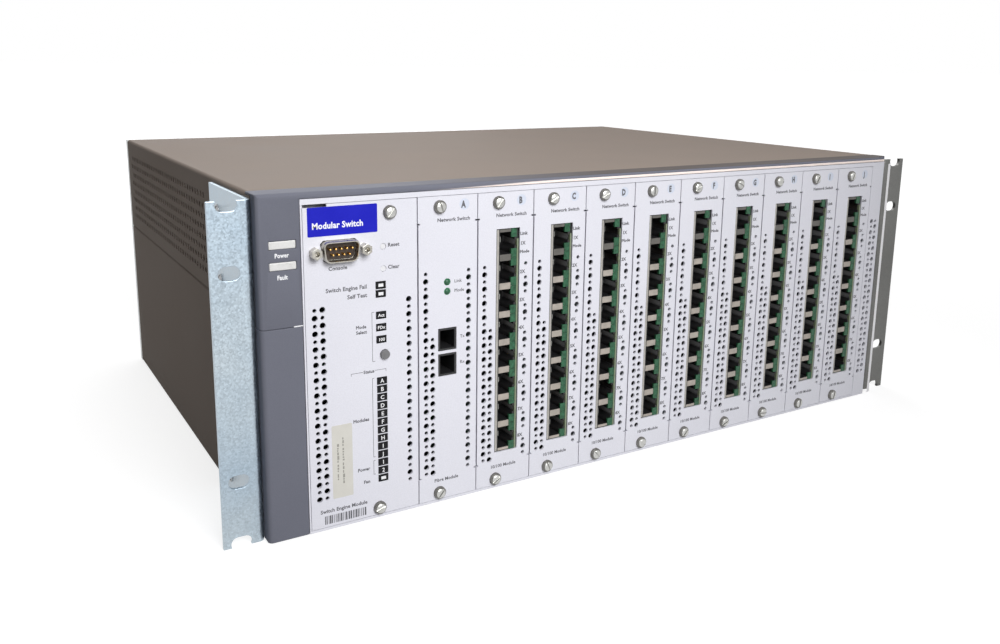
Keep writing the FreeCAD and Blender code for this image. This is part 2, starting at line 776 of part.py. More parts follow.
# ---------------------------------------------------------------- card cage
def make_card_cage():
    """Two moulded guide trays, one on the floor and one under the cover, whose
    rib pairs hold each card's edges, and the backplane that the cards plug
    into, with a socket for each card and each supply."""
    lefts = [f"({RECESS_LEFT} + engine_card_inset)"] + [f"({left} + card_inset)" for left in slot_lefts()]
    start = f"({FRAME_DEPTH} + seat_gap)"
    tray_left = f"({LEFT} + 2*sheet + 2*seat_gap + sheet)"
    tray_width = f"(-2*{tray_left})"
    trays = []
    for name, floor, rib_foot, rib_top in (
            ("lower_guide", "sheet", "sheet + guide_floor", "card_foot + guide_bite"),
            ("upper_guide", f"body_height - 2*sheet - seat_gap - guide_floor - seat_gap",
             f"{CARD_TOP} - guide_bite", "body_height - 2*sheet - guide_floor - 2*seat_gap")):
        body = new_body(name)
        pad_blocks(body, "XY_Plane", [block("0", "0", tray_width, "guide_length")], "guide_floor",
                   lift=floor)
        ribs = []
        for left in lefts:
            across = f"{LEFT} + {left} - ({tray_left})"
            ribs.append(block(f"{across} - guide_gap - guide_rib", "0", "guide_rib", "guide_length"))
            ribs.append(block(f"{across} + card_thickness + guide_gap", "0", "guide_rib", "guide_length"))
        pad_blocks(body, "XY_Plane", ribs, f"{rib_top} - ({rib_foot})", lift=rib_foot)
        place(body, tray_left, start)
        trays.append(body)
    node(grouped("card_guides", trays))

    board_foot = "(sheet + backplane_margin)"
    board_rise = "(body_height - 2*sheet - 2*backplane_margin)"
    edge = f"({LEFT} + 2*sheet + 2*seat_gap)"
    pieces = [box("backplane_board", edge, "backplane_setback", board_foot,
                  f"-2*{edge}", "backplane_thickness", board_rise)]
    socket_foot = "(card_foot + (card_height - plug_height)/2)"
    for number, left in enumerate(lefts):
        pieces.append(box(f"backplane_socket_{number}", f"{LEFT} + {left} - plug_width",
                          "backplane_setback - plug_depth + seat_gap", socket_foot,
                          "plug_width + card_thickness", "plug_depth - seat_gap + 0.5", "plug_height"))
    for sign in ("-1", "1"):
        pieces.append(box("supply_socket", f"{sign}*supply_middle - 25",
                          "backplane_setback + backplane_thickness - 0.5",
                          "supply_foot + supply_height/2 - 5", "50",
                          f"{SUPPLY_PANEL} - supply_length - backplane_setback - backplane_thickness + 0.3",
                          "10"))
    node(fused("backplane", pieces))


# ---------------------------------------------------------------- module panels
def panel_plate(body, width):
    """A folded panel: a front sheet with a flange turned back along each side."""
    pad_blocks(body, "XY_Plane", [[
        ("0", "0"), (width, "0"), (width, "plate_depth"), (f"{width} - sheet", "plate_depth"),
        (f"{width} - sheet", "sheet"), ("sheet", "sheet"), ("sheet", "plate_depth"),
        ("0", "plate_depth")]], "plate_height")


def panel_screw_holes(body, spots):
    """Clearance holes in the panel's front for the captive screws."""
    cut_rings(body, "XZ_Plane", [(across, up, "captive_shank_radius + shank_gap") for across, up in spots],
              "2*sheet")


def make_module(letter, left):
    """One interface module: its panel with two captive screws, its card with a
    backplane plug, and its block of sockets."""
    name = f"module_{letter}"
    width = "(slot_pitch - 2*edge_gap)"
    plate = new_body(f"{name}_panel")
    panel_plate(plate, width)
    spots = [("captive_inset - edge_gap", "captive_bottom"),
             ("captive_inset - edge_gap", "plate_height - captive_top")]
    panel_screw_holes(plate, spots)
    if letter == "a":
        for number in range(2):
            up = f"fibre_foot + {number}*fibre_pitch - edge_gap"
            cut_blocks(plate, "XZ_Plane", [block("fibre_inset - 2*edge_gap", up,
                                                 "fibre_width + 2*edge_gap", "fibre_height + 2*edge_gap")],
                       "2*sheet")
        cut_discs(plate, "XZ_Plane", [(f"lamp_inset - edge_gap", f"lamp_height + {number}*lamp_pitch",
                                       "lamp_radius + shank_gap") for number in range(2)], "2*sheet")
    else:
        cut_blocks(plate, "XZ_Plane", [block("port_inset - 2*edge_gap", "port_foot - edge_gap",
                                             "port_width + 2*edge_gap + sheet/2",
                                             "port_pitch*port_count + 2*edge_gap")], "2*sheet")
    place(plate, f"{LEFT} + {left} + edge_gap", height=PLATE_FOOT)
    screws = [make_captive(f"{name}_screw_{number}", f"{left} + edge_gap + {across}", f"{PLATE_FOOT} + {up}")
              for number, (across, up) in enumerate(spots)]
    node(grouped(f"{name}_faceplate", [plate] + screws))

    card_left = f"{LEFT} + {left} + card_inset"
    start = f"(port_setback + card_start)"
    card = box(f"{name}_card_sheet", card_left, start, "card_foot",
               "card_thickness", f"{CARD_END} - {start} - plug_depth/2", "card_height")
    plug = box(f"{name}_plug", f"{card_left} - plug_width", f"{CARD_END} - plug_depth",
               "card_foot + (card_height - plug_height)/2", "plug_width + card_thickness", "plug_depth",
               "plug_height")
    pieces = [card, plug]
    if letter == "a":
        for number in range(2):
            lamp = doc.addObject("Part::Cylinder", f"{name}_lamp_{number}")
            bind(lamp, Radius="lamp_radius", Height="lamp_length")
            lamp.Placement.Rotation = FreeCAD.Rotation(Vector(1, 0, 0), -90)
            place(lamp, f"{LEFT} + {left} + lamp_inset", "seat_gap",
                  f"{PLATE_FOOT} + lamp_height + {number}*lamp_pitch")
            foot = box(f"{name}_lamp_foot_{number}", f"{LEFT} + {left} + lamp_inset - 1",
                       "lamp_length - 2", f"{PLATE_FOOT} + lamp_height + {number}*lamp_pitch - 1",
                       "card_inset - lamp_inset + 1.5", "2", "2")
            pieces += [lamp, foot]
    node(fused(f"{name}_card", pieces))
    if letter == "a":
        make_fibre_sockets(name, left)
    else:
        make_port_block(name, left)


def make_port_block(name, left):
    """A moulded block of eight sockets, one above the other.  Each socket is
    turned on its side, with its latch channel towards the card in two steps."""
    body = new_body(f"{name}_ports")
    height = "(port_pitch*port_count - 2*edge_gap)"
    pad_blocks(body, "XZ_Plane", [block("0", "0", "port_width", height)], "port_block_depth", backwards=True)
    low = "((port_pitch - jack_width)/2 - edge_gap)"
    middle = f"({low} + jack_width/2)"
    near = "(port_width - jack_side - jack_height)"
    far = "(port_width - jack_side)"
    step = f"({far} + latch_depth)"
    end = f"({far} + 2*latch_depth - 0.4)"
    cavity = [
        (far, low), (far, f"{middle} - latch_width/2"),
        (step, f"{middle} - latch_width/2"), (step, f"{middle} - latch_key_width/2"),
        (end, f"{middle} - latch_key_width/2"), (end, f"{middle} + latch_key_width/2"),
        (step, f"{middle} + latch_key_width/2"), (step, f"{middle} + latch_width/2"),
        (far, f"{middle} + latch_width/2"), (far, f"{low} + jack_width"),
        (near, f"{low} + jack_width"), (near, low),
    ]
    socket = cut_blocks(body, "XZ_Plane", [cavity], "jack_depth")
    repeat(body, socket, "Z_Axis", "port_pitch", "port_count")
    place(body, f"{LEFT} + {left} + port_inset", "port_setback",
          f"{PLATE_FOOT} + port_foot + edge_gap")
    return node(body)


def make_fibre_sockets(name, left):
    """Two square push-pull sockets of the fibre module, each a shell round a
    fine ferrule sleeve that stands on the bottom of the cavity."""
    shells = []
    for number in range(2):
        body = new_body(f"{name}_socket_{number}")
        pad_blocks(body, "XZ_Plane", [block("0", "0", "fibre_width", "fibre_height")], "fibre_depth",
                   backwards=True)
        cut_blocks(body, "XZ_Plane", [block("fibre_wall", "fibre_wall", "fibre_width - 2*fibre_wall",
                                            "fibre_height - 2*fibre_wall")],
                   "fibre_depth - 2*fibre_wall")
        sketch = new_sketch(body, "XZ_Plane", "1 - fibre_depth")
        add_circle(sketch, "fibre_width/2", "fibre_height/2", "ferrule_radius")
        pad(body, sketch, "ferrule_length")
        pad_blocks(body, "YZ_Plane", [block("fibre_depth - 8", "1", "7", "fibre_height - 2")],
                   "card_inset - fibre_inset - fibre_width - seat_gap/2 + 0.5", lift="fibre_width - 0.5")
        place(body, f"{LEFT} + {left} + fibre_inset", "seat_gap",
              f"{PLATE_FOOT} + fibre_foot + {number}*fibre_pitch")
        shells.append(body)
    node(grouped(f"{name}_sockets", shells))


# ---------------------------------------------------------------- engine
def make_engine():
    """The engine: a wide panel with the console connector, the rows of lit
    legends, three push buttons and a card that carries them."""
    width = "(engine_width - 2*edge_gap)"
    origin = f"({LEFT} + {RECESS_LEFT} + edge_gap)"
    plate = new_body("engine_faceplate")
    panel_plate(plate, width)
    panel_screw_holes(plate, [(f"{across} - {RECESS_LEFT} - edge_gap", f"{up} - {PLATE_FOOT}")
                              for across, up in engine_screw_spots()])
    cut_blocks(plate, "XZ_Plane", [block("0", "plate_height - 1.4", "11.5", "3")], "sheet/2")
    rows = indicator_rows()
    cut_blocks(plate, "XZ_Plane", [block("indicator_inset - indicator_width/2 - shank_gap",
                                         f"{up} - indicator_height/2 - shank_gap",
                                         "indicator_width + 2*shank_gap",
                                         "indicator_height + 2*shank_gap") for up in rows], "2*sheet")
    cut_blocks(plate, "XZ_Plane", [d_shape("console_inset", "console_height", "shank_gap")], "2*sheet")
    cut_discs(plate, "XZ_Plane", [("button_inset", "mode_button_height", "mode_button_radius + button_gap"),
                                  ("button_inset", "reset_button_height", "small_button_radius + button_gap"),
                                  ("button_inset", "clear_button_height", "small_button_radius + button_gap")],
              "2*sheet")
    cut_rings(plate, "XZ_Plane", [(f"console_inset {way} jack_screw_spacing/2", "console_height",
                                   "jack_screw_hole + shank_gap") for way in "-+"], "2*sheet")
    place(plate, origin, height=PLATE_FOOT)
    node(plate)

    screws = [make_captive(f"engine_screw_{number}", across, up)
              for number, (across, up) in enumerate(engine_screw_spots())]
    node(grouped("engine_screws", screws))

    lamps = [box(f"legend_{number}", f"{origin} + indicator_inset - indicator_width/2", "-indicator_proud",
                 f"{PLATE_FOOT} + {up} - indicator_height/2",
                 "indicator_width", "indicator_depth", "indicator_height")
             for number, up in enumerate(rows)]
    node(grouped("engine_indicators", lamps))
    make_engine_card(origin)
    make_console(origin)
    make_button("mode_button", origin, "mode_button_height", "mode_button_radius", "-mode_button_stand")
    make_button("reset_button", origin, "reset_button_height", "small_button_radius", "small_button_sink")
    make_button("clear_button", origin, "clear_button_height", "small_button_radius", "small_button_sink")


def indicator_rows():
    """Heights of the lit legends above the panel's foot."""
    rows = []
    for foot, pitch, count in (("status_foot", "status_pitch", "status_count"),
                               ("mode_foot", "mode_pitch", "mode_count"),
                               ("test_foot", "test_pitch", "test_count")):
        rows += [f"{foot} + {number}*{pitch}" for number in range(int(value(count)))]
    return rows


def d_shape(across, along, grow):
    """Corners of the console connector's D outline, larger by grow all round."""
    half = f"(shell_width/2 + {grow})"
    rise = f"(shell_height/2 + {grow})"
    return [
        (f"{across} - {half}", f"{along} + {rise} - shell_slant"),
        (f"{across} - {half} + shell_slant", f"{along} - {rise} + shell_slant/2"),
        (f"{across} - {half} + 2*shell_slant", f"{along} - {rise}"),
        (f"{across} + {half} - 2*shell_slant", f"{along} - {rise}"),
        (f"{across} + {half} - shell_slant", f"{along} - {rise} + shell_slant/2"),
        (f"{across} + {half}", f"{along} + {rise} - shell_slant"),
        (f"{across} + {half} - shell_slant", f"{along} + {rise}"),
        (f"{across} - {half} + shell_slant", f"{along} + {rise}"),
    ]


def make_engine_card(origin):
    """The engine's card, with its backplane plug and a push switch behind each
    button, all soldered together."""
    left = f"({LEFT} + {RECESS_LEFT} + engine_card_inset)"
    start = "(port_setback + card_start + 2)"
    pieces = [
        box("engine_card_sheet", left, start, "card_foot", "card_thickness",
            f"{CARD_END} - {start} - plug_depth/2", "card_height"),
        box("engine_plug", f"{left} - plug_width", f"{CARD_END} - plug_depth",
            "card_foot + (card_height - plug_height)/2", "plug_width + card_thickness", "plug_depth",
            "plug_height")]
    for height in ("mode_button_height", "reset_button_height", "clear_button_height"):
        middle = f"({origin} + button_inset)"
        pieces.append(box(f"{height}_switch", f"{middle} - switch_size/2",
                          "sheet + button_skirt + guide_gap + button_travel + 2",
                          f"{PLATE_FOOT} + {height} - switch_size/2",
                          f"{left} - {middle} + switch_size/2 + 0.5", "3.5", "switch_size"))
    rows = indicator_rows()
    pieces.append(box("legend_carrier", f"{origin} + indicator_inset - indicator_width/2",
                      "indicator_depth - indicator_proud + seat_gap",
                      f"{PLATE_FOOT} + {rows[0]} - indicator_height/2",
                      f"{left} - ({origin} + indicator_inset - indicator_width/2) + 0.5", "1.6",
                      f"status_pitch*(status_count - 1) + indicator_height"))
    node(fused("engine_card", pieces))


def make_console(origin):
    """The console connector: a D-shaped shell with a flange behind the panel,
    and a moulded insert with nine pins, with its two hexagon jack screws."""
    shell = new_body("console_shell")
    sketch = new_sketch(shell, "XZ_Plane", "shell_stand")
    add_loop(sketch, d_shape("0", "0", "0"))
    pad(shell, sketch, "shell_stand + sheet + shell_back", backwards=True)
    back = "-sheet - seat_gap"
    pad_blocks(shell, "XZ_Plane", [block("-shell_flange_width/2", "-shell_flange_height/2",
                                         "shell_flange_width", "shell_flange_height")],
               "sheet", lift=back, backwards=True)
    sketch = new_sketch(shell, "XZ_Plane", "shell_stand")
    add_loop(sketch, d_shape("0", "0", "-shell_wall"))
    pocket(shell, sketch, "shell_stand + sheet + 2")
    cut_rings(shell, "XZ_Plane", [(f"{way}jack_screw_spacing/2", "0", "jack_screw_hole + shank_gap")
                                  for way in "-+"])
    pins = new_sketch(shell, "XZ_Plane", "-sheet - 2.5")
    for row, count in (("1", 5), ("-1", 4)):
        for number in range(count):
            add_ring(pins, f"({number} - {(count - 1)/2})*pin_pitch", f"{row}*pin_row/2", "pin_radius",
                     "shank_sides")
    pad(shell, pins, "pin_length + 0.5")
    place(shell, f"{origin} + console_inset", height=f"{PLATE_FOOT} + console_height")
    shell.Label = "console_connector"
    node(shell)

    nuts = []
    for number, way in enumerate("-+"):
        nut = new_body(f"jack_screw_{number}")
        sketch = new_sketch(nut, "XZ_Plane")
        add_ring(sketch, "0", "0", "jack_screw_flats/sqrt(3)", "6")
        pad(nut, sketch, "jack_screw_length")
        stem = new_sketch(nut, "XZ_Plane", "0.5")
        add_ring(stem, "0", "0", "jack_screw_hole", "shank_sides")
        pad(nut, stem, "2*sheet + 2", backwards=True)
        cut_rings(nut, "XZ_Plane", [("0", "0", "jack_screw_hole")], "jack_screw_length - 1",
                  lift="jack_screw_length")
        place(nut, f"{origin} + console_inset {way} jack_screw_spacing/2",
              height=f"{PLATE_FOOT} + console_height")
        nuts.append(nut)
    node(grouped("console_jackscrews", nuts))


def make_button(label, origin, height, radius, face):
    """A round push button held behind the panel by a skirt, with a stem that
    reaches towards its switch."""
    body = new_body(label)
    skirt = "sheet + seat_gap"
    turned(body, [
        ("0", face),
        (radius, face),
        (radius, skirt),
        (f"{radius} + 1", skirt),
        (f"{radius} + 1", f"{skirt} + button_skirt"),
        ("button_stem", f"{skirt} + button_skirt"),
        ("button_stem", f"{skirt} + button_skirt + 1.6"),
        ("0", f"{skirt} + button_skirt + 1.6")])
    place(body, f"{origin} + button_inset", height=f"{PLATE_FOOT} + {height}")
    return node(body)


# ---------------------------------------------------------------- supplies
def make_supply(side, sign):
    """A slide-in supply: a hollow steel case with a vented panel, a bent
    handle, two knurled screws and a three-blade mains inlet."""
    middle = f"{sign}*supply_middle"
    body = new_body(f"supply_{side}_shell")
    pad_blocks(body, "XZ_Plane", [block("-supply_width/2", "0", "supply_width", "supply_height")],
               "supply_length", backwards=True)
    cut_blocks(body, "XZ_Plane", [block("sheet - supply_width/2", "sheet", "supply_width - 2*sheet",
                                        "supply_height - 2*sheet")], "supply_length - sheet")
    lap = "supply_panel_lap"
    pad_blocks(body, "XZ_Plane", [block(f"-supply_width/2 - {lap}", f"sheet + 3*seat_gap - supply_foot",
                                        f"supply_width + 2*{lap}",
                                        f"supply_height + supply_foot - sheet - 3*seat_gap + {lap}")],
               "sheet", lift="-supply_length", backwards=True)
    inlet = "(supply_width/2 - inlet_width)"
    cut_blocks(body, "XZ_Plane", [block(f"{inlet} - inlet_width/2 - shank_gap",
                                        "supply_height/2 - inlet_height/2 - shank_gap",
                                        "inlet_width + 2*shank_gap", "inlet_height + 2*shank_gap")],
               "3*sheet", lift="2*sheet - supply_length - 3*sheet", backwards=True)
    vent = cut_blocks(body, "XZ_Plane", [block("-supply_width/2 + 16", "supply_height/2 - supply_vent_height/2",
                                               "supply_vent_width", "supply_vent_height")],
                      "3*sheet", lift="2*sheet - supply_length - 3*sheet", backwards=True)
    repeat(body, vent, "X_Axis", "supply_vent_pitch", "supply_vent_count")
    place(body, middle, f"{SUPPLY_PANEL} - supply_length", "supply_foot")

    back = box(f"supply_{side}_end", f"{middle} - supply_width/2 + sheet + seat_gap",
               f"{SUPPLY_PANEL} - supply_length + seat_gap",
               "supply_foot + sheet + seat_gap", "supply_width - 2*sheet - 2*seat_gap", "sheet",
               "supply_height - 2*sheet - 2*seat_gap")
    handle = make_handle(side, middle)
    knobs = []
    for number, way in enumerate("-+"):
        knob = new_body(f"supply_{side}_knob_{number}")
        grip = new_sketch(knob, "XZ_Plane")
        add_ring(grip, "0", "0", "supply_knob_radius", "head_sides")
        pad(knob, grip, "supply_knob", backwards=True)
        place(knob, f"{middle} {way} (supply_width/2 - supply_knob_radius - 3)",
              f"{SUPPLY_PANEL} + sheet", "supply_foot + supply_height - supply_knob_radius - 3")
        knobs.append(knob)
    node(grouped(f"supply_{side}_case", [body, back, handle] + knobs))
    make_inlet(side, f"{middle} + {inlet}")


def make_handle(side, middle):
    """A steel strap bent into a low bow, standing on the supply's panel."""
    body = new_body(f"supply_{side}_handle")
    half, stand, thick = "supply_handle_span/2", "supply_handle", "supply_handle_sheet"
    pad_blocks(body, "XY_Plane", [[
        (f"-{half}", "0"), (f"{thick} - {half}", "0"), (f"{thick} - {half}", f"{stand} - {thick}"),
        (f"{half} - {thick}", f"{stand} - {thick}"), (f"{half} - {thick}", "0"), (half, "0"),
        (half, stand), (f"-{half}", stand)]], "supply_handle_width", lift="-supply_handle_width/2")
    wide, high = value(half), value(stand)
    round_edges(body, "supply_handle_sheet",
                lambda a, b: runs_along(a, b, x=wide, y=high) or runs_along(a, b, x=-wide, y=high))
    place(body, middle, f"{SUPPLY_PANEL} + sheet", "supply_foot + supply_height/2")
    return body


def make_inlet(side, across):
    """A mains inlet: a flanged body, a mouth with two cut corners and three
    blades on its floor."""
    body = new_body(f"supply_{side}_inlet")
    pad_blocks(body, "XZ_Plane", [block("-inlet_width/2", "-inlet_height/2", "inlet_width", "inlet_height")],
               "inlet_body_depth")
    pad_blocks(body, "XZ_Plane", [block("-inlet_width/2 - inlet_flange/2", "-inlet_height/2 - inlet_flange/2",
                                        "inlet_width + inlet_flange", "inlet_height + inlet_flange")],
               "2*sheet", backwards=True)
    half, rise = "inlet_mouth_width/2", "inlet_mouth_height/2"
    mouth = [(f"-{half}", f"-{rise}"), (half, f"-{rise}"), (half, f"{rise} - inlet_corner"),
             (f"{half} - inlet_corner", rise), (f"inlet_corner - {half}", rise),
             (f"-{half}", f"{rise} - inlet_corner")]
    cut_blocks(body, "XZ_Plane", [mouth], "inlet_mouth_depth", lift="-2*sheet", backwards=True)
    blades = [block(f"{place_x} - blade_width/2", f"{place_z} - blade_height/2", "blade_width", "blade_height")
              for place_x, place_z in (("-blade_spread", "0"), ("blade_spread", "0"), ("0", "blade_height/2"))]
    pad_blocks(body, "XZ_Plane", blades, "blade_length + 0.5", lift="inlet_mouth_depth - 2*sheet + 0.5",
               backwards=True)
    place(body, across, f"{SUPPLY_PANEL} + sheet + 0.05", "supply_foot + supply_height/2")
    return node(body)


# ---------------------------------------------------------------- fans
def make_fan(side, sign):
    """A square axial fan: a frame with a round duct and four struts that carry
    a motor cup with an axle, and a rotor of seven blades that turns on it."""
    middle = f"{sign}*fan_spacing/2"
    start = f"{REAR_FACE} - seat_gap/4 - fan_depth"
    frame = new_body(f"fan_frame_{side}")
    half = "fan_size/2"
    pad_blocks(frame, "XZ_Plane", [block(f"-{half}", f"-{half}", "fan_size", "fan_size")], "fan_depth",
               backwards=True)
    cut_discs(frame, "XZ_Plane", [("0", "0", "fan_duct_radius")])
    cut_rings(frame, "XZ_Plane", [(f"{across}fan_hole_spacing/2", f"{up}fan_hole_spacing/2",
                                   "screw_shank_radius + shank_gap") for across in "+-" for up in "+-"],
              "fan_strut + sheet", lift="-fan_depth", backwards=True)
    strut = "fan_strut"
    cross = [block(f"-{half} + 1", f"-{strut}/2", "fan_size - 2", strut),
             ]
    pad_blocks(frame, "XZ_Plane", cross, "fan_strut", backwards=True)
    pad_blocks(frame, "XZ_Plane", [block(f"-{strut}/2", f"-{half} + 1", strut, "fan_size - 2")],
               "fan_strut", backwards=True)
    cup = new_sketch(frame, "XZ_Plane")
    add_circle(cup, "0", "0", "fan_hub_radius")
    pad(frame, cup, "fan_strut", backwards=True)
    axle = new_sketch(frame, "XZ_Plane", "-fan_strut + 0.5")
    add_circle(axle, "0", "0", "fan_axle_radius")
    pad(frame, axle, "fan_depth/2 + 0.5", backwards=True)
    place(frame, middle, start, "fan_height")
    node(frame)

    rotor = new_body(f"fan_rotor_{side}")
    hub = new_sketch(rotor, "XZ_Plane")
    add_circle(hub, "0", "0", "fan_hub_radius")
    pad(rotor, hub, "fan_depth - fan_strut - 3", backwards=True)
    cut_discs(rotor, "XZ_Plane", [("0", "0", "fan_axle_radius + fan_axle_gap")], "fan_depth/2 + 1")
    tip = "(fan_duct_radius - fan_tip_gap)"
    lean = 6
    sketch = new_sketch(rotor, "YZ_Plane", "fan_hub_radius - 1")
    run = "(fan_depth - fan_strut - 5)"
    add_loop(sketch, [("1", f"-{lean}"), ("2.4", f"-{lean} - 0.4"), (f"{run} + 1", f"{lean} - 1"),
                      (f"{run} + 1", f"{lean} + 0.6"), (f"{run}", f"{lean} + 0.6")])
    reach = f"sqrt({tip}^2 - {lean + 1}^2) - fan_hub_radius + 1"
    blade = pad(rotor, sketch, reach)
    pattern = rotor.newObject("PartDesign::PolarPattern", f"{rotor.Label}_ring")
    pattern.Originals = [blade]
    line = [item for item in rotor.Origin.OriginFeatures if item.Role == "Y_Axis"]
    pattern.Axis = (line[0], [""])
    pattern.Angle = 360
    bind(pattern, Occurrences="fan_blade_count")
    rotor.Tip = pattern
    place(rotor, middle, f"{start} + fan_strut + 1", "fan_height")
    node(rotor)


make_base()
make_cover()
make_front_frame()
make_bezel()
make_ears()
make_rear_panel()
make_card_cage()
make_engine()
for letter, left in zip("abcdefghij", slot_lefts()):
    make_module(letter, left)
for side, sign in (("left", "-1"), ("right", "1")):
    make_supply(side, sign)
    make_fan(side, sign)
make_chassis_screws()
doc.recompute()

# ---------------------------------------------------------------- checks and files
for item in doc.Objects:
    if "Invalid" in item.State or "Error" in item.State:
        raise RuntimeError(f"{item.Label} did not build: {item.State}")
for label, item in nodes.items():
    if item.Shape.isNull() or not item.Shape.isValid():
        raise RuntimeError(f"{label} has no valid shape")

os.makedirs("parts", exist_ok=True)
for label, item in nodes.items():
    item.Shape.exportStep(f"parts/{label}.step")
print(len(nodes), "sub-parts,", sum(len(item.Shape.Solids) for item in nodes.values()), "solids")
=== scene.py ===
"""A rack-mount modular chassis switch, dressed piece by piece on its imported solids."""
import math
import random

import bmesh
import bpy
from mathutils import Matrix, Vector


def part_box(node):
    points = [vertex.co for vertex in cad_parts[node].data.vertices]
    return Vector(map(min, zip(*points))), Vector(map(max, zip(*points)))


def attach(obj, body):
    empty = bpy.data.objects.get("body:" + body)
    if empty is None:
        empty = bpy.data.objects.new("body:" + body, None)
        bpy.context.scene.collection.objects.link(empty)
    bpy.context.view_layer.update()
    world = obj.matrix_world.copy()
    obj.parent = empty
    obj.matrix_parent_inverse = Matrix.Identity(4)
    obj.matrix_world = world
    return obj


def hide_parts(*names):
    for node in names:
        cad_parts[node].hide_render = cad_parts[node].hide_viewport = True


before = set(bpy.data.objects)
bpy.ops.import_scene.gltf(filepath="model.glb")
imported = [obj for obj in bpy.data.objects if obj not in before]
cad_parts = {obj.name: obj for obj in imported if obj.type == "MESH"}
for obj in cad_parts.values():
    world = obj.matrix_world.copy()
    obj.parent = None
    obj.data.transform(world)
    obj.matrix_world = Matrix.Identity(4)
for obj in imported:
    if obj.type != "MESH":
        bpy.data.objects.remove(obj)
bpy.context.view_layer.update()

# ---------------------------------------------------------------- studio
# A plain pale floor under soft light: a narrow lamp in front, wide ones above
# and behind, and a white surround for the metal to mirror.
scene = bpy.context.scene
scene.view_settings.view_transform = "Standard"
WHITE = (1, 1, 1, 1)


def fed(tree, node, feeds):
    """Feed a node's inputs with values, with sockets or with other nodes' first outlets."""
    for name, feed in feeds.items():
        if isinstance(feed, bpy.types.Node):
            feed = feed.outputs[0]
        if isinstance(feed, bpy.types.NodeSocket):
            tree.links.new(feed, node.inputs[name])
        else:
            node.inputs[name].default_value = feed
    return node


def wired(tree, kind, feeds=None, **settings):
    """A new node of a tree, its settings made and its inputs fed."""
    node = tree.nodes.new(kind)
    for name, setting in settings.items():
        setattr(node, name, setting)
    return fed(tree, node, feeds or {})


def maths(tree, operation, *feeds, **settings):
    """A node that reckons with numbers."""
    return wired(tree, "ShaderNodeMath", dict(enumerate(feeds)), operation=operation, **settings)


def vectors(tree, operation, *feeds):
    """A node that reckons with vectors."""
    return wired(tree, "ShaderNodeVectorMath", dict(enumerate(feeds)), operation=operation)


def ranged(tree, value, low, high, start=0.0, stop=1.0):
    """A node that turns start to stop into low to high."""
    return wired(tree, "ShaderNodeMapRange", {"Value": value, "From Min": start, "From Max": stop,
                                              "To Min": low, "To Max": high})


def new_material(name):
    """A material, with its tree and its shader."""
    material = bpy.data.materials.new(name)
    material.use_nodes = True
    return material, material.node_tree, material.node_tree.nodes["Principled BSDF"]


def seen_directly(tree):
    """1 for rays from the camera, from polish and through glass, and 0 for diffuse ones."""
    path = wired(tree, "ShaderNodeLightPath").outputs
    straight = maths(tree, "ADD", path["Is Camera Ray"], path["Is Glossy Ray"])
    return maths(tree, "ADD", straight, path["Is Transmission Ray"], use_clamp=True)


def make_surround(around=0.15, white=1.0):
    """A world that lights weakly, and is white where it is seen or mirrored."""
    scene.world = bpy.data.worlds.new("surround")
    scene.world.use_nodes = True
    tree = scene.world.node_tree
    strength = ranged(tree, seen_directly(tree), around, white)
    fed(tree, tree.nodes["Background"], {"Color": WHITE, "Strength": strength})


def make_floor(half=40.0, drop=-0.0002, shade=0.30, lift=0.80, near=0.45, far=1.3):
    """A wide floor that keeps the object's shadow and turns white away from it."""
    mesh = bpy.data.meshes.new("floor")
    mesh.from_pydata([(-half, -half, drop), (half, -half, drop), (half, half, drop), (-half, half, drop)],
                     [], [(0, 1, 2, 3)])
    floor = bpy.data.objects.new("floor", mesh)
    scene.collection.objects.link(floor)
    material, tree, shader = new_material("pale_floor")
    away = vectors(tree, "LENGTH", wired(tree, "ShaderNodeTexCoord").outputs["Object"])
    level = ranged(tree, away.outputs["Value"], lift, 1.0, near, far)
    glow = maths(tree, "MULTIPLY", seen_directly(tree), level)
    fed(tree, shader, {"Base Color": (shade, shade, shade, 1), "Roughness": 0.9, "Specular IOR Level": 0.0,
                       "Emission Color": WHITE, "Emission Strength": glow})
    mesh.materials.append(material)


def make_lamp(name, spot, width, watts, aim=(0.0, -0.02, 0.08), spread=180):
    """A square lamp, aimed at the object."""
    lamp = bpy.data.lights.new(name, "AREA")
    lamp.spread = math.radians(spread)
    lamp.shape = "SQUARE"
    lamp.size = width
    lamp.energy = watts
    light = bpy.data.objects.new(name, lamp)
    light.location = spot
    light.rotation_euler = (Vector(aim) - Vector(spot)).to_track_quat("-Z", "Y").to_euler()
    scene.collection.objects.link(light)


make_surround()
make_floor()
make_lamp("key", (-0.12, -0.85, 0.55), 0.5, 1.85, aim=(-0.10, -0.17, 0.09), spread=76)
make_lamp("top", (0.1, 0.45, 1.4), 0.9, 8.5)
make_lamp("back", (0.35, 1.7, 0.9), 1.2, 9)

lens = bpy.data.cameras.new("camera")
lens.sensor_width = 36
lens.lens = 33.42
lens.shift_x = -0.0078
lens.shift_y = -0.0654
lens.clip_start = 0.02
camera = bpy.data.objects.new("camera", lens)
camera.location = (-0.33795, -0.58090, 0.23031)
camera.rotation_euler = [math.radians(turn) for turn in (78.2530, -0.7720, -31.1430)]
scene.collection.objects.link(camera)
scene.camera = camera


# ---------------------------------------------------------------- steel case
# A tray of folded sheet steel and a cover whose skirts reach down to a seam,
# both powder coated brown-grey. The skirts are punched with rows of air holes.
def mixed(tree, share, first, second):
    """The outlet of a node that blends two colours."""
    return wired(tree, "ShaderNodeMix", {"Factor": share, 6: first, 7: second}, data_type="RGBA").outputs[2]


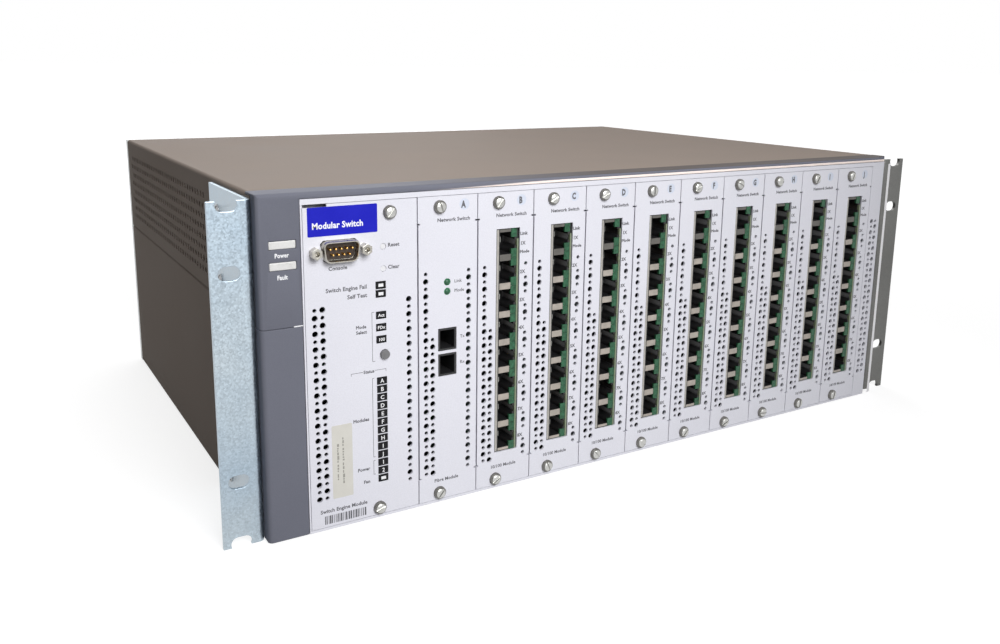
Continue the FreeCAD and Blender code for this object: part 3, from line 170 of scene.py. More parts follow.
def surface(name, dark, light, patch=0.03, rough=0.5, metal=0.0, grain=0.0004, depth=0.00001, gloss=0.5):
    """A material that drifts between two shades in soft patches and has a fine grain."""
    material, tree, shader = new_material(name)
    spot = wired(tree, "ShaderNodeTexCoord").outputs["Object"]
    drift = wired(tree, "ShaderNodeTexNoise", {"Vector": spot, "Scale": 1/patch, "Detail": 5.0})
    fine = wired(tree, "ShaderNodeTexNoise", {"Vector": spot, "Scale": 1/grain, "Detail": 2.0})
    tint = vectors(tree, "MULTIPLY", mixed(tree, drift, (*dark, 1), (*light, 1)), ranged(tree, fine, 0.9, 1.1))
    polish = ranged(tree, drift, max(rough - 0.08, 0.02), min(rough + 0.08, 1.0))
    bump = wired(tree, "ShaderNodeBump", {"Height": fine, "Strength": 0.6, "Distance": depth})
    fed(tree, shader, {"Base Color": tint, "Roughness": polish, "Normal": bump, "Metallic": metal,
                       "Specular IOR Level": gloss})
    return material


def applied(piece):
    """Turn a piece with its modifiers into one plain mesh."""
    view = bpy.context.evaluated_depsgraph_get()
    mesh = bpy.data.meshes.new_from_object(piece.evaluated_get(view))
    piece.modifiers.clear()
    piece.data = mesh
    mesh.name = piece.name
    return piece


def new_piece(name, body=None):
    """An object of its own from a bmesh or from nothing, with no place but its vertices."""
    mesh = bpy.data.meshes.new(name)
    if body is not None:
        body.to_mesh(mesh)
        body.free()
    piece = bpy.data.objects.new(name, mesh)
    scene.collection.objects.link(piece)
    return piece


def smoothed(piece, degrees=22):
    """Shade a piece smooth, but for edges that turn more than this."""
    piece.data.shade_smooth()
    piece.data.set_sharp_from_angle(angle=math.radians(degrees))
    return piece


def islands(body):
    """The separate shells of a bmesh, as lists of vertices."""
    left, shells = set(body.verts), []
    while left:
        shell, edge = set(), [left.pop()]
        while edge:
            vert = edge.pop()
            shell.add(vert)
            for line in vert.link_edges:
                other = line.other_vert(vert)
                if other in left:
                    left.discard(other)
                    edge.append(other)
        shells.append(list(shell))
    return shells


def pressed(node, name, edge=0.00025, tallest=False):
    """A copy of a solid, or of its tallest shell, with its sharp edges broken by a small round."""
    body = bmesh.new()
    body.from_mesh(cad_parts[node].data)
    bmesh.ops.remove_doubles(body, verts=body.verts, dist=0.000002)
    if tallest:
        shells = sorted(islands(body), key=lambda shell: max(v.co.z for v in shell) - min(v.co.z for v in shell))
        bmesh.ops.delete(body, geom=[vert for shell in shells[:-1] for vert in shell], context="VERTS")
    bmesh.ops.dissolve_limit(body, angle_limit=0.01, verts=body.verts, edges=body.edges)
    piece = new_piece(name, body)
    if edge:
        round_edge = piece.modifiers.new("edge", "BEVEL")
        round_edge.width = edge
        round_edge.segments = 2
        round_edge.limit_method = "ANGLE"
        round_edge.angle_limit = math.radians(40)
        applied(piece)
    return smoothed(piece)


def painted(piece, material):
    """Give a piece one material in place of any that it has."""
    piece.data.materials.clear()
    piece.data.materials.append(material)
    return piece


def fixed(piece, body, slot, *nodes):
    """Fix a finished piece to its body and hide the solids it stands for; its slot is not used."""
    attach(piece, body)
    if nodes:
        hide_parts(*nodes)


def new_tree(name, **inputs):
    """An empty Geometry Nodes tree with named inputs, and its inlet's sockets by name."""
    tree = bpy.data.node_groups.new(name, "GeometryNodeTree")
    tree.interface.new_socket("Geometry", in_out="OUTPUT", socket_type="NodeSocketGeometry")
    tree.interface.new_socket("Geometry", in_out="INPUT", socket_type="NodeSocketGeometry")
    for title, kind in inputs.items():
        tree.interface.new_socket(title.replace("_", " "), in_out="INPUT", socket_type=f"NodeSocket{kind}")
    inlet = tree.nodes.new("NodeGroupInput")
    return tree, {socket.name: socket for socket in inlet.outputs if socket.name}


def end_tree(tree, geometry, finish):
    """End a tree in real meshes of one material."""
    real = wired(tree, "GeometryNodeRealizeInstances", {"Geometry": geometry})
    coat = wired(tree, "GeometryNodeSetMaterial", {"Geometry": real, "Material": finish})
    wired(tree, "NodeGroupOutput", {0: coat})
    return tree


def run_tree(piece, tree, **settings):
    """Run a tree on a piece with its inputs set, and keep what it makes as a plain mesh."""
    step = piece.modifiers.new(tree.name, "NODES")
    step.node_group = tree
    for item in tree.interface.items_tree:
        title = item.name.replace(" ", "_")
        if item.in_out == "INPUT" and title in settings:
            step[item.identifier] = settings[title]
    return applied(piece)


def grid_points(tree, given):
    """Points counted down each column in turn, with their columns, rows and places."""
    total = maths(tree, "MULTIPLY", given["Columns"], given["Rows"])
    line = wired(tree, "GeometryNodeMeshLine", {"Count": total, "Offset": (0.0, 0.0, 0.0)}, mode="OFFSET")
    index = wired(tree, "GeometryNodeInputIndex")
    column = maths(tree, "FLOOR", maths(tree, "DIVIDE", maths(tree, "ADD", index, 0.5), given["Rows"]))
    row = maths(tree, "SUBTRACT", index, maths(tree, "MULTIPLY", column, given["Rows"]))
    spot = vectors(tree, "MULTIPLY_ADD", given["Across"], column, given["First"])
    return line, column, row, vectors(tree, "MULTIPLY_ADD", given["Down"], row, spot)


def make_punch():
    """A tree that punches columns of round holes, small and large by turns."""
    tree, given = new_tree("punch", Columns="Int", Rows="Int", First="Vector", Across="Vector", Down="Vector",
                           Shift="Vector", Small_radius="Float", Large_radius="Float", Start="Float",
                           Skip_step="Float", Skip_row="Float", Depth="Float", Turn="Vector", Sides="Int",
                           Finish="Material")
    line, column, row, spot = grid_points(tree, given)
    spot = vectors(tree, "MULTIPLY_ADD", given["Shift"], maths(tree, "MODULO", row, 2.0), spot)
    turns = maths(tree, "ADD", maths(tree, "ADD", column, row), given["Start"])
    radius = ranged(tree, maths(tree, "MODULO", turns, 2.0), given["Small radius"], given["Large radius"])
    skip = maths(tree, "COMPARE", maths(tree, "MODULO", row, given["Skip step"]), given["Skip row"], 0.1)
    points = wired(tree, "GeometryNodeSetPosition", {"Geometry": line, "Position": spot})
    punch = wired(tree, "GeometryNodeMeshCylinder", {"Vertices": given["Sides"], "Radius": 1.0, "Depth": 1.0})
    size = wired(tree, "ShaderNodeCombineXYZ", {"X": radius, "Y": radius, "Z": given["Depth"]})
    keep = wired(tree, "FunctionNodeBooleanMath", {0: skip}, operation="NOT")
    punches = wired(tree, "GeometryNodeInstanceOnPoints", {"Points": points, "Selection": keep, "Instance": punch,
                                                           "Rotation": given["Turn"], "Scale": size})
    real = wired(tree, "GeometryNodeRealizeInstances", {"Geometry": punches})
    cut = wired(tree, "GeometryNodeMeshBoolean", {"Mesh 1": given["Geometry"], "Mesh 2": real},
                operation="DIFFERENCE", solver="EXACT")
    return end_tree(tree, cut, given["Finish"])


PUNCH = make_punch()
NO_SKIP = {"Skip_step": 1000.0, "Skip_row": 999.0}
QUARTER = math.pi/2
HOLE, HOLE_ALONG, HOLE_DOWN = 0.00182, 0.0062, 0.0060
case_paint = surface("case_paint", (0.215, 0.178, 0.153), (0.270, 0.222, 0.190), patch=0.06, rough=0.62,
                     grain=0.0005, depth=0.00002, gloss=0.03)

tray = pressed("chassis_base", "case_tray")
fixed(painted(tray, case_paint), "chassis", "case_paint", "chassis_base")

cover = pressed("top_cover", "case_cover")
low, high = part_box("top_cover")
for x in (low.x, high.x):
    run_tree(cover, PUNCH, Columns=35, Rows=8, First=(x, low.y + 0.088, high.z - 0.0122),
             Across=(0.0, HOLE_ALONG, 0.0), Down=(0.0, 0.0, -HOLE_DOWN), Shift=(0.0, HOLE_ALONG/2, 0.0),
             Small_radius=HOLE, Large_radius=HOLE, Start=0.0, Depth=0.004, Turn=(0.0, QUARTER, 0.0),
             Sides=10, Finish=case_paint, **NO_SKIP)
fixed(smoothed(painted(cover, case_paint)), "chassis", "case_paint", "top_cover")


# ---------------------------------------------------------------- front frame
# One plated steel pressing that carries the front. Its top rail and right
# margin are painted like the panels; the margin has two columns of air holes.
panel_paint = surface("panel_paint", (0.655, 0.655, 0.715), (0.705, 0.705, 0.765), patch=0.05, rough=0.42,
                      grain=0.0006, depth=0.000006)
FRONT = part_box("front_frame")[0].y
VENT_SMALL, VENT_LARGE, VENT_PITCH = 0.00104, 0.00152, 0.003865


def vent(piece, x, top, rows, start=0.0, pitch=VENT_PITCH, skip=NO_SKIP):
    """Punch one column of air holes down a front panel."""
    return run_tree(piece, PUNCH, Columns=1, Rows=rows, First=(x, FRONT, top), Down=(0.0, 0.0, -pitch),
                    Small_radius=VENT_SMALL, Large_radius=VENT_LARGE, Start=start, Depth=0.006,
                    Turn=(QUARTER, 0.0, 0.0), Sides=12, Finish=panel_paint, **skip)


front = pressed("front_frame", "front_frame_pressing")
chassis_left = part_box("chassis_base")[0].x
for inset, start in ((0.4270, 1.0), (0.4309, 0.0)):
    vent(front, chassis_left + inset, 0.1269, 29, start, 0.00387)
fixed(smoothed(painted(front, panel_paint), 1), "chassis", "frame_paint", "front_frame")


# ---------------------------------------------------------------- plastic bezel
# Two mouldings of slate-grey plastic with a fine grain, and two milky windows
# for the power and fault lamps, their captions printed in white under them.
bezel_plastic = surface("bezel_plastic", (0.135, 0.14, 0.172), (0.165, 0.171, 0.208), patch=0.05, rough=0.55,
                        grain=0.0004, depth=0.000012, gloss=0.04)


def coat_of(material):
    """A material's tree, its shader and the outlet that colours it, to paint over."""
    tree = material.node_tree
    shader = tree.nodes["Principled BSDF"]
    return tree, shader, shader.inputs["Base Color"].links[0].from_socket


def make_trim_plastic(start=-0.17, stop=-0.02, painted_reflection=(0.93, 0.81, 0.76, 1), brown=(0.085, 0.072, 0.068, 1)):
    """The same plastic, with a painted warm reflection that widens along the front of its top edge, and painted
    brown shade on its top face towards the right.
    """
    material = bezel_plastic.copy()
    material.name = "bezel_trim"
    tree, shader, paint = coat_of(material)
    spot = wired(tree, "ShaderNodeSeparateXYZ", {0: wired(tree, "ShaderNodeTexCoord").outputs["Object"]}).outputs
    along = ranged(tree, spot["X"], 0.0, 1.0, start, stop)
    # Painted reflection: a warm band down from the top edge on the front face, wider towards the right.
    below = maths(tree, "SUBTRACT", ranged(tree, along, 0.1674, 0.1709), spot["Z"])
    forward = maths(tree, "LESS_THAN", spot["Y"], FRONT + 0.0002)
    share = maths(tree, "MULTIPLY", ranged(tree, below, 0.0, 1.0, 0.0, 0.0007), forward)
    share = maths(tree, "MULTIPLY", share, maths(tree, "GREATER_THAN", spot["X"], start))
    # Painted shade: the top face turns brown towards the right.
    shaded = maths(tree, "MULTIPLY", along, maths(tree, "GREATER_THAN", spot["Z"], 0.1708))
    fed(tree, shader, {"Base Color": mixed(tree, share, mixed(tree, shaded, paint, brown), painted_reflection)})
    return material


for node, plastic in (("bezel_upper", make_trim_plastic()), ("bezel_lower", bezel_plastic)):
    shell = pressed(node, f"{node}_moulding", edge=0.0004)
    fixed(painted(shell, plastic), "chassis", "bezel_plastic", node)

window_plastic = surface("window_plastic", (0.56, 0.55, 0.54), (0.74, 0.74, 0.73), patch=0.004, rough=0.3,
                         grain=0.0005, depth=0.00001)
windows = pressed("bezel_windows", "lamp_windows", edge=0.0004)
fixed(painted(windows, window_plastic), "chassis", "window_plastic", "bezel_windows")

INK_LIFT = 0.00004


def blocks(name, spans, turn=None):
    """Closed blocks, each from its lowest to its highest corner."""
    body = bmesh.new()
    for low, high in spans:
        corner = [body.verts.new([(low, high)[n >> axis & 1][axis] for axis in range(3)]) for n in range(8)]
        for face in ((0, 2, 3, 1), (4, 5, 7, 6), (0, 1, 5, 4), (2, 6, 7, 3), (0, 4, 6, 2), (1, 3, 7, 5)):
            body.faces.new([corner[n] for n in face])
    bmesh.ops.recalc_face_normals(body, faces=body.faces)
    if turn is not None:
        bmesh.ops.rotate(body, verts=body.verts, matrix=turn)
    return new_piece(name, body)


def laid(name, spans, material, body, slot):
    """Blocks as a finished piece."""
    fixed(painted(blocks(name, spans), material), body, slot)


def caption(words, x, z, size, side="LEFT", face=None, narrow=1.0, bold=0.00004):
    """A line of raised print on the front, with its base line at z and capitals as tall as its size."""
    curve = bpy.data.curves.new(words, "FONT")
    curve.body = words
    curve.size = size/0.70
    curve.align_x = side
    curve.extrude = INK_LIFT
    curve.offset = bold
    curve.resolution_u = 2
    curve.space_character = 1.03
    text = bpy.data.objects.new(words, curve)
    scene.collection.objects.link(text)
    bpy.context.view_layer.update()
    view = bpy.context.evaluated_depsgraph_get()
    mesh = bpy.data.meshes.new_from_object(text.evaluated_get(view))
    bpy.data.objects.remove(text)
    upright = Matrix.Rotation(QUARTER, 4, "X") @ Matrix.Diagonal((narrow, 1.0, 1.0, 1.0))
    mesh.transform(Matrix.Translation((x, FRONT if face is None else face, z)) @ upright)
    return mesh


def printed(name, meshes, ink, body_name, slot):
    """Join printed lines into one finished piece."""
    body = bmesh.new()
    for mesh in meshes:
        body.from_mesh(mesh)
        bpy.data.meshes.remove(mesh)
    bmesh.ops.remove_doubles(body, verts=body.verts, dist=0.0000005)
    fixed(painted(new_piece(name, body), ink), body_name, slot)


white_ink = surface("white_ink", (0.78, 0.78, 0.80), (0.90, 0.90, 0.92), patch=0.002, rough=0.5)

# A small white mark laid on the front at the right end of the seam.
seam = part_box("bezel_upper")[0].z
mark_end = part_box("bezel_lower")[1].x
white_mark = ((mark_end - 0.0044, FRONT - 0.00005, seam - 0.0001), (mark_end, FRONT + 0.0001, seam + 0.0004))
laid("bezel_scuff", [white_mark], white_ink, "chassis", "bezel_plastic")

window_low, window_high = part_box("bezel_windows")
window_middle = (window_low.x + window_high.x)/2 - 0.0005
lines = [caption(words, window_middle, z, 0.0021, side="CENTER", narrow=0.82, bold=0.00009)
         for words, z in (("Power", 0.1414), ("Fault", 0.1310))]
printed("bezel_captions", lines, white_ink, "chassis", "bezel_plastic")


# ---------------------------------------------------------------- rack ears
# Two brackets folded from galvanised sheet, left bare: bluish zinc with a
# mottled grain of small spangles. The right one takes a darker copy of the
# zinc: painted shade for the dark reflection it shows. The front's right
# edge carries a painted highlight, a bright strip along its fold.
def make_zinc(name, dark, light, spangle=0.0008):
    """Bare zinc, whose spangles differ in shade and in polish."""
    material = surface(name, dark, light, patch=0.06, rough=0.42, metal=1.0, grain=0.0006, depth=0.00001)
    tree, shader, paint = coat_of(material)
    spot = wired(tree, "ShaderNodeTexCoord").outputs["Object"]
    flake = wired(tree, "ShaderNodeTexVoronoi", {"Vector": spot, "Scale": 1/spangle})
    grey = wired(tree, "ShaderNodeRGBToBW", {"Color": flake.outputs["Color"]})
    tint = vectors(tree, "MULTIPLY", paint, ranged(tree, grey, 0.84, 1.12))
    fed(tree, shader, {"Base Color": tint, "Roughness": ranged(tree, grey, 0.30, 0.52)})
    return material


zinc = make_zinc("galvanised_steel", (0.30, 0.40, 0.50), (0.52, 0.56, 0.57))
# Painted shade: a darker copy of the zinc for the right ear, standing for the dark reflection it shows.
shaded_zinc = make_zinc("dull_galvanised_steel", (0.115, 0.115, 0.11), (0.19, 0.19, 0.183))
for side, coat in (("left", zinc), ("right", shaded_zinc)):
    ear = pressed(f"rack_ear_{side}", f"ear_bracket_{side}", edge=0.0002)
    fixed(painted(ear, coat), "chassis", "plated_steel", f"rack_ear_{side}")

# Painted highlight: a bright strip down the front frame's right edge, standing for light along its fold.
frame_low, frame_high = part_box("front_frame")
highlight_strip = ((frame_high.x - 0.0026, FRONT - 0.00008, frame_low.z + 0.0004),
        (frame_high.x - 0.0003, FRONT + 0.00002, frame_high.z - 0.0016))
bare_fold = surface("bare_fold", (0.80, 0.79, 0.82), (0.90, 0.89, 0.91), patch=0.01, rough=0.3)
laid("frame_fold", [highlight_strip], bare_fold, "chassis", "plated_steel")


# ---------------------------------------------------------------- screws
# Bright slotted captive screws hold every panel; low cross-slotted ones hold
# the ears and the fans. Each stands at its own turn.
bright_steel = surface("bright_steel", (0.40, 0.40, 0.385), (0.62, 0.62, 0.60), patch=0.0025, rough=0.3,
                       metal=1.0, grain=0.0004, depth=0.000004)
collar_steel = surface("collar_steel", (0.13, 0.125, 0.115), (0.24, 0.235, 0.22), patch=0.002, rough=0.4,
                       metal=0.8, grain=0.0004, depth=0.000006)
dull_steel = surface("dull_steel", (0.30, 0.31, 0.32), (0.46, 0.47, 0.48), patch=0.003, rough=0.38,
                     metal=1.0, grain=0.0004, depth=0.000006)


def lathe(name, outline, sides, facing):
    """A closed turned shape: (radius, distance out) pairs about an axis."""
    body = bmesh.new()
    rings = []
    for radius, out in outline:
        if radius < 1e-7:
            rings.append([body.verts.new((0, 0, out))])
        else:
            angles = [2*math.pi*n/sides for n in range(sides)]
            rings.append([body.verts.new((radius*math.cos(angle), radius*math.sin(angle), out))
                          for angle in angles])
    for inner, outer in zip(rings, rings[1:]):
        for n in range(sides):
            after = (n + 1) % sides
            corners = ([inner[n % len(inner)], inner[after % len(inner)]]
                       + [outer[after % len(outer)], outer[n % len(outer)]])
            corners = list(dict.fromkeys(corners))
            if len(corners) > 2:
                body.faces.new(corners)
    bmesh.ops.recalc_face_normals(body, faces=body.faces)
    turn = Vector((0, 0, 1)).rotation_difference(Vector(facing)).to_matrix()
    bmesh.ops.rotate(body, verts=body.verts, matrix=turn)
    return new_piece(name, body)


def cut_with(piece, cutter):
    """Take one closed piece out of another and throw the cutter away."""
    cut = piece.modifiers.new("cut", "BOOLEAN")
    cut.object = cutter
    cut.operation = "DIFFERENCE"
    cut.solver = "EXACT"
    cut.use_self = True
    applied(piece)
    bpy.data.objects.remove(cutter)
    return piece


PATTERNS = []


def as_pattern(piece):
    """Hide a piece that is only there to be copied; it is thrown away at the end."""
    piece.hide_render = piece.hide_viewport = True
    PATTERNS.append(piece)
    return piece


def slotted_head(name, outline, facing, slot, depth, cross=False, sides=20):
    """A turned screw head with a driver slot, or two crossed ones, cut in its top."""
    head = lathe(name, outline, sides, facing)
    reach = max(radius for radius, out in outline)*1.2
    top = max(out for radius, out in outline)
    turn = Vector((0, 0, 1)).rotation_difference(Vector(facing)).to_matrix()
    long_cut = ((-reach, -slot/2, top - depth), (reach, slot/2, top + 0.001))
    cut_with(head, blocks("slot", [long_cut], turn))
    if cross:
        cross_cut = ((-slot/2, -reach, top - depth), (slot/2, reach, top + 0.001))
        cut_with(head, blocks("slot", [cross_cut], turn))
    return as_pattern(head)


def make_fastener_tree():
    """A tree that stands a head on every point, each at a random turn about its axis."""
    tree, given = new_tree("fasteners", Head="Object", Axis="Vector", Seed="Int", Finish="Material")
    head = wired(tree, "GeometryNodeObjectInfo", {"Object": given["Head"]})
    angle = wired(tree, "FunctionNodeRandomValue", {2: 0.0, 3: math.pi, "Seed": given["Seed"]},
                  data_type="FLOAT")
    turn = wired(tree, "FunctionNodeAxisAngleToRotation", {"Axis": given["Axis"], "Angle": angle.outputs[1]})
    stood = wired(tree, "GeometryNodeInstanceOnPoints", {"Points": given["Geometry"], "Rotation": turn,
                                                         "Instance": head.outputs["Geometry"]})
    return end_tree(tree, stood, given["Finish"])


FASTENERS = make_fastener_tree()


def stood_on(name, spots, head, axis, seed, finish):
    """Copies of a head at stated spots, as one piece."""
    piece = new_piece(name)
    piece.data.from_pydata(spots, [], [])
    run_tree(piece, FASTENERS, Head=head, Axis=axis, Seed=seed, Finish=finish)
    return smoothed(painted(piece, finish), 32)


CAPTIVE = [(0.0, -0.0005), (0.0027, -0.0005), (0.0027, 0.0015), (0.0025, 0.0022), (0.0019, 0.0026),
           (0.0, 0.0027)]
captive_head = slotted_head("captive_head", CAPTIVE, (0, -1, 0), 0.0009, 0.0011, sides=24)
COLLAR = [(0.0026, -0.0004), (0.0034, -0.0004), (0.0034, 0.0012), (0.0031, 0.0017), (0.0027, 0.0017),
          (0.0026, 0.0014), (0.0026, -0.0004)]
captive_collar = as_pattern(lathe("captive_collar", COLLAR, 24, (0, -1, 0)))
HEAD_TALL = 0.0014
LOW_HEAD = [(0.0, -0.0004), (0.0029, -0.0004), (0.0029, 0.0004), (0.0025, 0.0010), (0.0017, 0.00135),
            (0.0, HEAD_TALL)]

screw_low, screw_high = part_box("chassis_screws")
ear_low, ear_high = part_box("rack_ear_left")
ear_depth = ear_low.y + 0.054
ear_middle = (ear_low.z + ear_high.z)/2
ear_heights = [ear_middle + way*gap/2 for gap in (0.072, 0.144) for way in (1, -1)]
for side, way in (("left", -1), ("right", 1)):
    head = slotted_head(f"ear_head_{side}", LOW_HEAD, (way, 0, 0), 0.0008, 0.0007, cross=True)
    wall = way*(abs(screw_low.x) - HEAD_TALL)
    spots = [(wall, ear_depth, height) for height in ear_heights]
    screws = stood_on(f"ear_screws_{side}", spots, head, (way, 0, 0), 4 + way, dull_steel)
    fixed(screws, "chassis", "screw_steel", "chassis_screws")

rear_head = slotted_head("rear_head", LOW_HEAD, (0, 1, 0), 0.0008, 0.0007, cross=True)
FAN_HALF, FAN_HOLE = 0.030, 0.025
fan_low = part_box("fan_frame_right")[0]
fan_middle, fan_height = fan_low.x + FAN_HALF, fan_low.z + FAN_HALF
rear_wall = screw_high.y - HEAD_TALL
spots = [(sign*fan_middle + across*FAN_HOLE, rear_wall, fan_height + up*FAN_HOLE)
         for sign in (-1, 1) for across in (-1, 1) for up in (-1, 1)]
spots += [(x, rear_wall, z) for x in (-0.2135, 0.0, 0.2135) for z in (0.0855, 0.164)]
screws = stood_on("rear_screws", spots, rear_head, (0, 1, 0), 11, dull_steel)
fixed(screws, "chassis", "screw_steel", "chassis_screws")


# ---------------------------------------------------------------- card cage
# Black moulded guides above and below the cards and, behind them, a green
# backplane with a dark socket for each card.
def make_laminate(name, green, trace, pitch=0.0021):
    """Coated circuit board: fine tracks that show through the green coat."""
    material = surface(name, green, [1.25*part for part in green], patch=0.02, rough=0.32, grain=0.0005,
                       depth=0.000004)
    tree, shader, paint = coat_of(material)
    spot = wired(tree, "ShaderNodeTexCoord").outputs["Object"]
    lines = wired(tree, "ShaderNodeTexVoronoi", {"Vector": spot, "Scale": 1/pitch}, distance="MANHATTAN")
    band = maths(tree, "GREATER_THAN", lines.outputs["Distance"], 0.62)
    fed(tree, shader, {"Base Color": mixed(tree, band, paint, (*trace, 1))})
    return material


laminate = make_laminate("card_laminate", (0.012, 0.115, 0.045), (0.03, 0.22, 0.09))
guide_plastic = surface("guide_plastic", (0.016, 0.016, 0.017), (0.03, 0.03, 0.032), rough=0.5)
painted(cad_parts["card_guides"], guide_plastic)
painted(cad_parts["backplane"], laminate)


# ---------------------------------------------------------------- cards
# Green laminate cards, each with its chips on the left face. The plug at the
# back edge is sealed under the same green coat.
def make_chip_tree():
    """A tree that sets chips of different sizes in a grid on a card's face."""
    tree, given = new_tree("chips", First="Vector", Across="Vector", Down="Vector", Rows="Int", Columns="Int",
                           Smallest="Vector", Largest="Vector", Share="Float", Seed="Int", Finish="Material")
    line, column, row, spot = grid_points(tree, given)
    points = wired(tree, "GeometryNodeSetPosition", {"Geometry": line, "Position": spot})
    chance = wired(tree, "FunctionNodeRandomValue", {"Probability": given["Share"], "Seed": given["Seed"]},
                   data_type="BOOLEAN")
    size = wired(tree, "FunctionNodeRandomValue", {0: given["Smallest"], 1: given["Largest"],
                                                   "Seed": given["Seed"]}, data_type="FLOAT_VECTOR")
    chip = wired(tree, "GeometryNodeMeshCube", {"Size": (1.0, 1.0, 1.0)})
    chips = wired(tree, "GeometryNodeInstanceOnPoints", {"Points": points, "Selection": chance.outputs[3],
                                                         "Instance": chip, "Scale": size})
    return end_tree(tree, chips, given["Finish"])


CHIPS = make_chip_tree()
chip_black = surface("chip_black", (0.012, 0.012, 0.013), (0.03, 0.03, 0.032), patch=0.004, rough=0.38)
CARD_THICK, CHIPS_IN, CHIPS_UP = 0.0016, 0.040, 0.014


def dressed_card(body, seed):
    """Coat the card of one body and set its chips on its left face."""
    painted(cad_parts[f"{body}_card"], laminate)
    low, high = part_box(f"{body}_card")
    chips = new_piece(f"{body}_chips")
    first = (high.x - CARD_THICK - 0.0009, low.y + CHIPS_IN, low.z + CHIPS_UP)
    run_tree(chips, CHIPS, First=first, Across=(0.0, 0.0205, 0.0), Down=(0.0, 0.0, 0.0185), Rows=7, Columns=7,
             Smallest=(0.0024, 0.0055, 0.0045), Largest=(0.0050, 0.0180, 0.0165), Share=0.72, Seed=seed,
             Finish=chip_black)
    fixed(painted(chips, chip_black), body, "card_laminate")


# ---------------------------------------------------------------- engine
# The wide panel at the left: a blue label, the console connector, two sunk
# buttons and the mode button, and columns of printed legends over lamps.
engine_low, engine_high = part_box("engine_faceplate")


def at_engine(inset, height):
    """A place on the engine panel, in millimetres from its lower left corner."""
    return engine_low.x + inset*0.001, engine_low.z + height*0.001


plate = pressed("engine_faceplate", "engine_panel", edge=0.0002)
for inset, start in ((4.49, 0.0), (8.41, 1.0), (53.67, 1.0)):
    vent(plate, *at_engine(inset, 112.4), 26, start, 0.003878)
gap = ((engine_low.x + 0.0002, FRONT - 0.001, engine_high.z - 0.0014),
       (engine_low.x + 0.0118, FRONT + 0.009, engine_high.z + 0.001))
cut_with(plate, blocks("gap", [gap]))
fixed(smoothed(painted(plate, panel_paint), 1), "engine", "panel_paint", "engine_faceplate")

CAPTIVE_HALF, CAPTIVE_UP = 0.0033, 0.0039
screws_low, screws_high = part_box("engine_screws")
spots = [(screws_low.x + CAPTIVE_HALF, FRONT, engine_low.z + CAPTIVE_UP),
         (screws_high.x - CAPTIVE_HALF, FRONT, screws_high.z - CAPTIVE_HALF)]


def captive_screws(body, spots, seed, node):
    """A body's captive screws and the collars that they turn in."""
    heads = stood_on(f"{body}_captive_screws", spots, captive_head, (0, 1, 0), seed, bright_steel)
    fixed(heads, body, "screw_steel", node)
    collars = stood_on(f"{body}_screw_collars", spots, captive_collar, (0, 1, 0), seed, collar_steel)
    fixed(collars, body, "screw_steel")


captive_screws("engine", spots, 3, "engine_screws")


def sticker(name, start, stop, material, lift=0.00008, corner=0.0006):
    """A thin label with rounded corners, stuck to the engine panel between two places on it."""
    (low, z_low), (high, z_high) = at_engine(*start), at_engine(*stop)
    body = bmesh.new()
    outline = []
    for cx, cz, turn in ((high - corner, z_low + corner, -90), (high - corner, z_high - corner, 0),
                         (low + corner, z_high - corner, 90), (low + corner, z_low + corner, 180)):
        for step in range(4):
            angle = math.radians(turn + 30*step)
            outline.append((cx + corner*math.cos(angle), cz + corner*math.sin(angle)))
    front_ring = [body.verts.new((px, FRONT - lift, pz)) for px, pz in outline]
    back_ring = [body.verts.new((px, FRONT + lift/2, pz)) for px, pz in outline]
    body.faces.new(front_ring)
    body.faces.new(back_ring[::-1])
    for n in range(len(outline)):
        after = (n + 1) % len(outline)
        body.faces.new((front_ring[n], back_ring[n], back_ring[after], front_ring[after]))
    bmesh.ops.recalc_face_normals(body, faces=body.faces)
    fixed(painted(new_piece(name, body), material), "engine", "panel_paint")


blue_label = surface("blue_label", (0.010, 0.012, 0.40), (0.018, 0.020, 0.48), patch=0.01, rough=0.5, gloss=0.12)
sticker("engine_blue_label", (2.2, 147.95), (37.3, 161.9), blue_label)
words = caption("Modular Switch", *at_engine(4.3, 151.6), 0.0029, face=FRONT - 0.0001, narrow=0.95, bold=0.00012)
printed("engine_label_words", [words], white_ink, "engine", "panel_paint")

paper = surface("label_paper", (0.56, 0.545, 0.50), (0.64, 0.625, 0.58), patch=0.006, rough=0.7, grain=0.0003)
sticker("engine_paper_label", (11.4, 14.3), (22.1, 52.8), paper)

faded_ink = surface("faded_ink", (0.24, 0.235, 0.21), (0.36, 0.35, 0.32), patch=0.002, rough=0.7)
random.seed(5)
marks = []
for inset, height, stop in ((14.0, 43.0, 24.0), (16.8, 46.0, 22.5)):
    while height > stop:
        length = random.choice((0.8, 1.1, 1.5, 2.0))
        x, z = at_engine(inset, height)
        wide = random.choice((0.0006, 0.0008, 0.0010))
        marks.append(((x, FRONT - 0.00013, z - length*0.001), (x + wide, FRONT - 0.00002, z)))
        height -= length + random.choice((0.4, 0.5, 1.1))
laid("engine_paper_marks", marks, faded_ink, "engine", "panel_paint")

dark_ink = surface("dark_ink", (0.075, 0.075, 0.085), (0.13, 0.13, 0.145), patch=0.002, rough=0.55)
random.seed(7)
bars = []
edge, foot = at_engine(6.8, 1.5)
stop, top = at_engine(28.5, 5.9)
while edge < stop:
    width = random.choice((0.0003, 0.0005, 0.0008))
    bars.append(((edge, FRONT - INK_LIFT, foot), (edge + width, FRONT + INK_LIFT, top)))
    edge += width + random.choice((0.0003, 0.0004, 0.0006))
laid("engine_stripes", bars, dark_ink, "engine", "panel_paint")


def stroke(*places, width=0.00022):
    """Printed straight rules through places on the engine panel."""
    ends = [at_engine(*place) for place in places]
    spans = []
    for (x0, z0), (x1, z1) in zip(ends, ends[1:]):
        spans.append(((min(x0, x1) - width/2, FRONT - INK_LIFT, min(z0, z1) - width/2),
                      (max(x0, x1) + width/2, FRONT + INK_LIFT, max(z0, z1) + width/2)))
    return spans


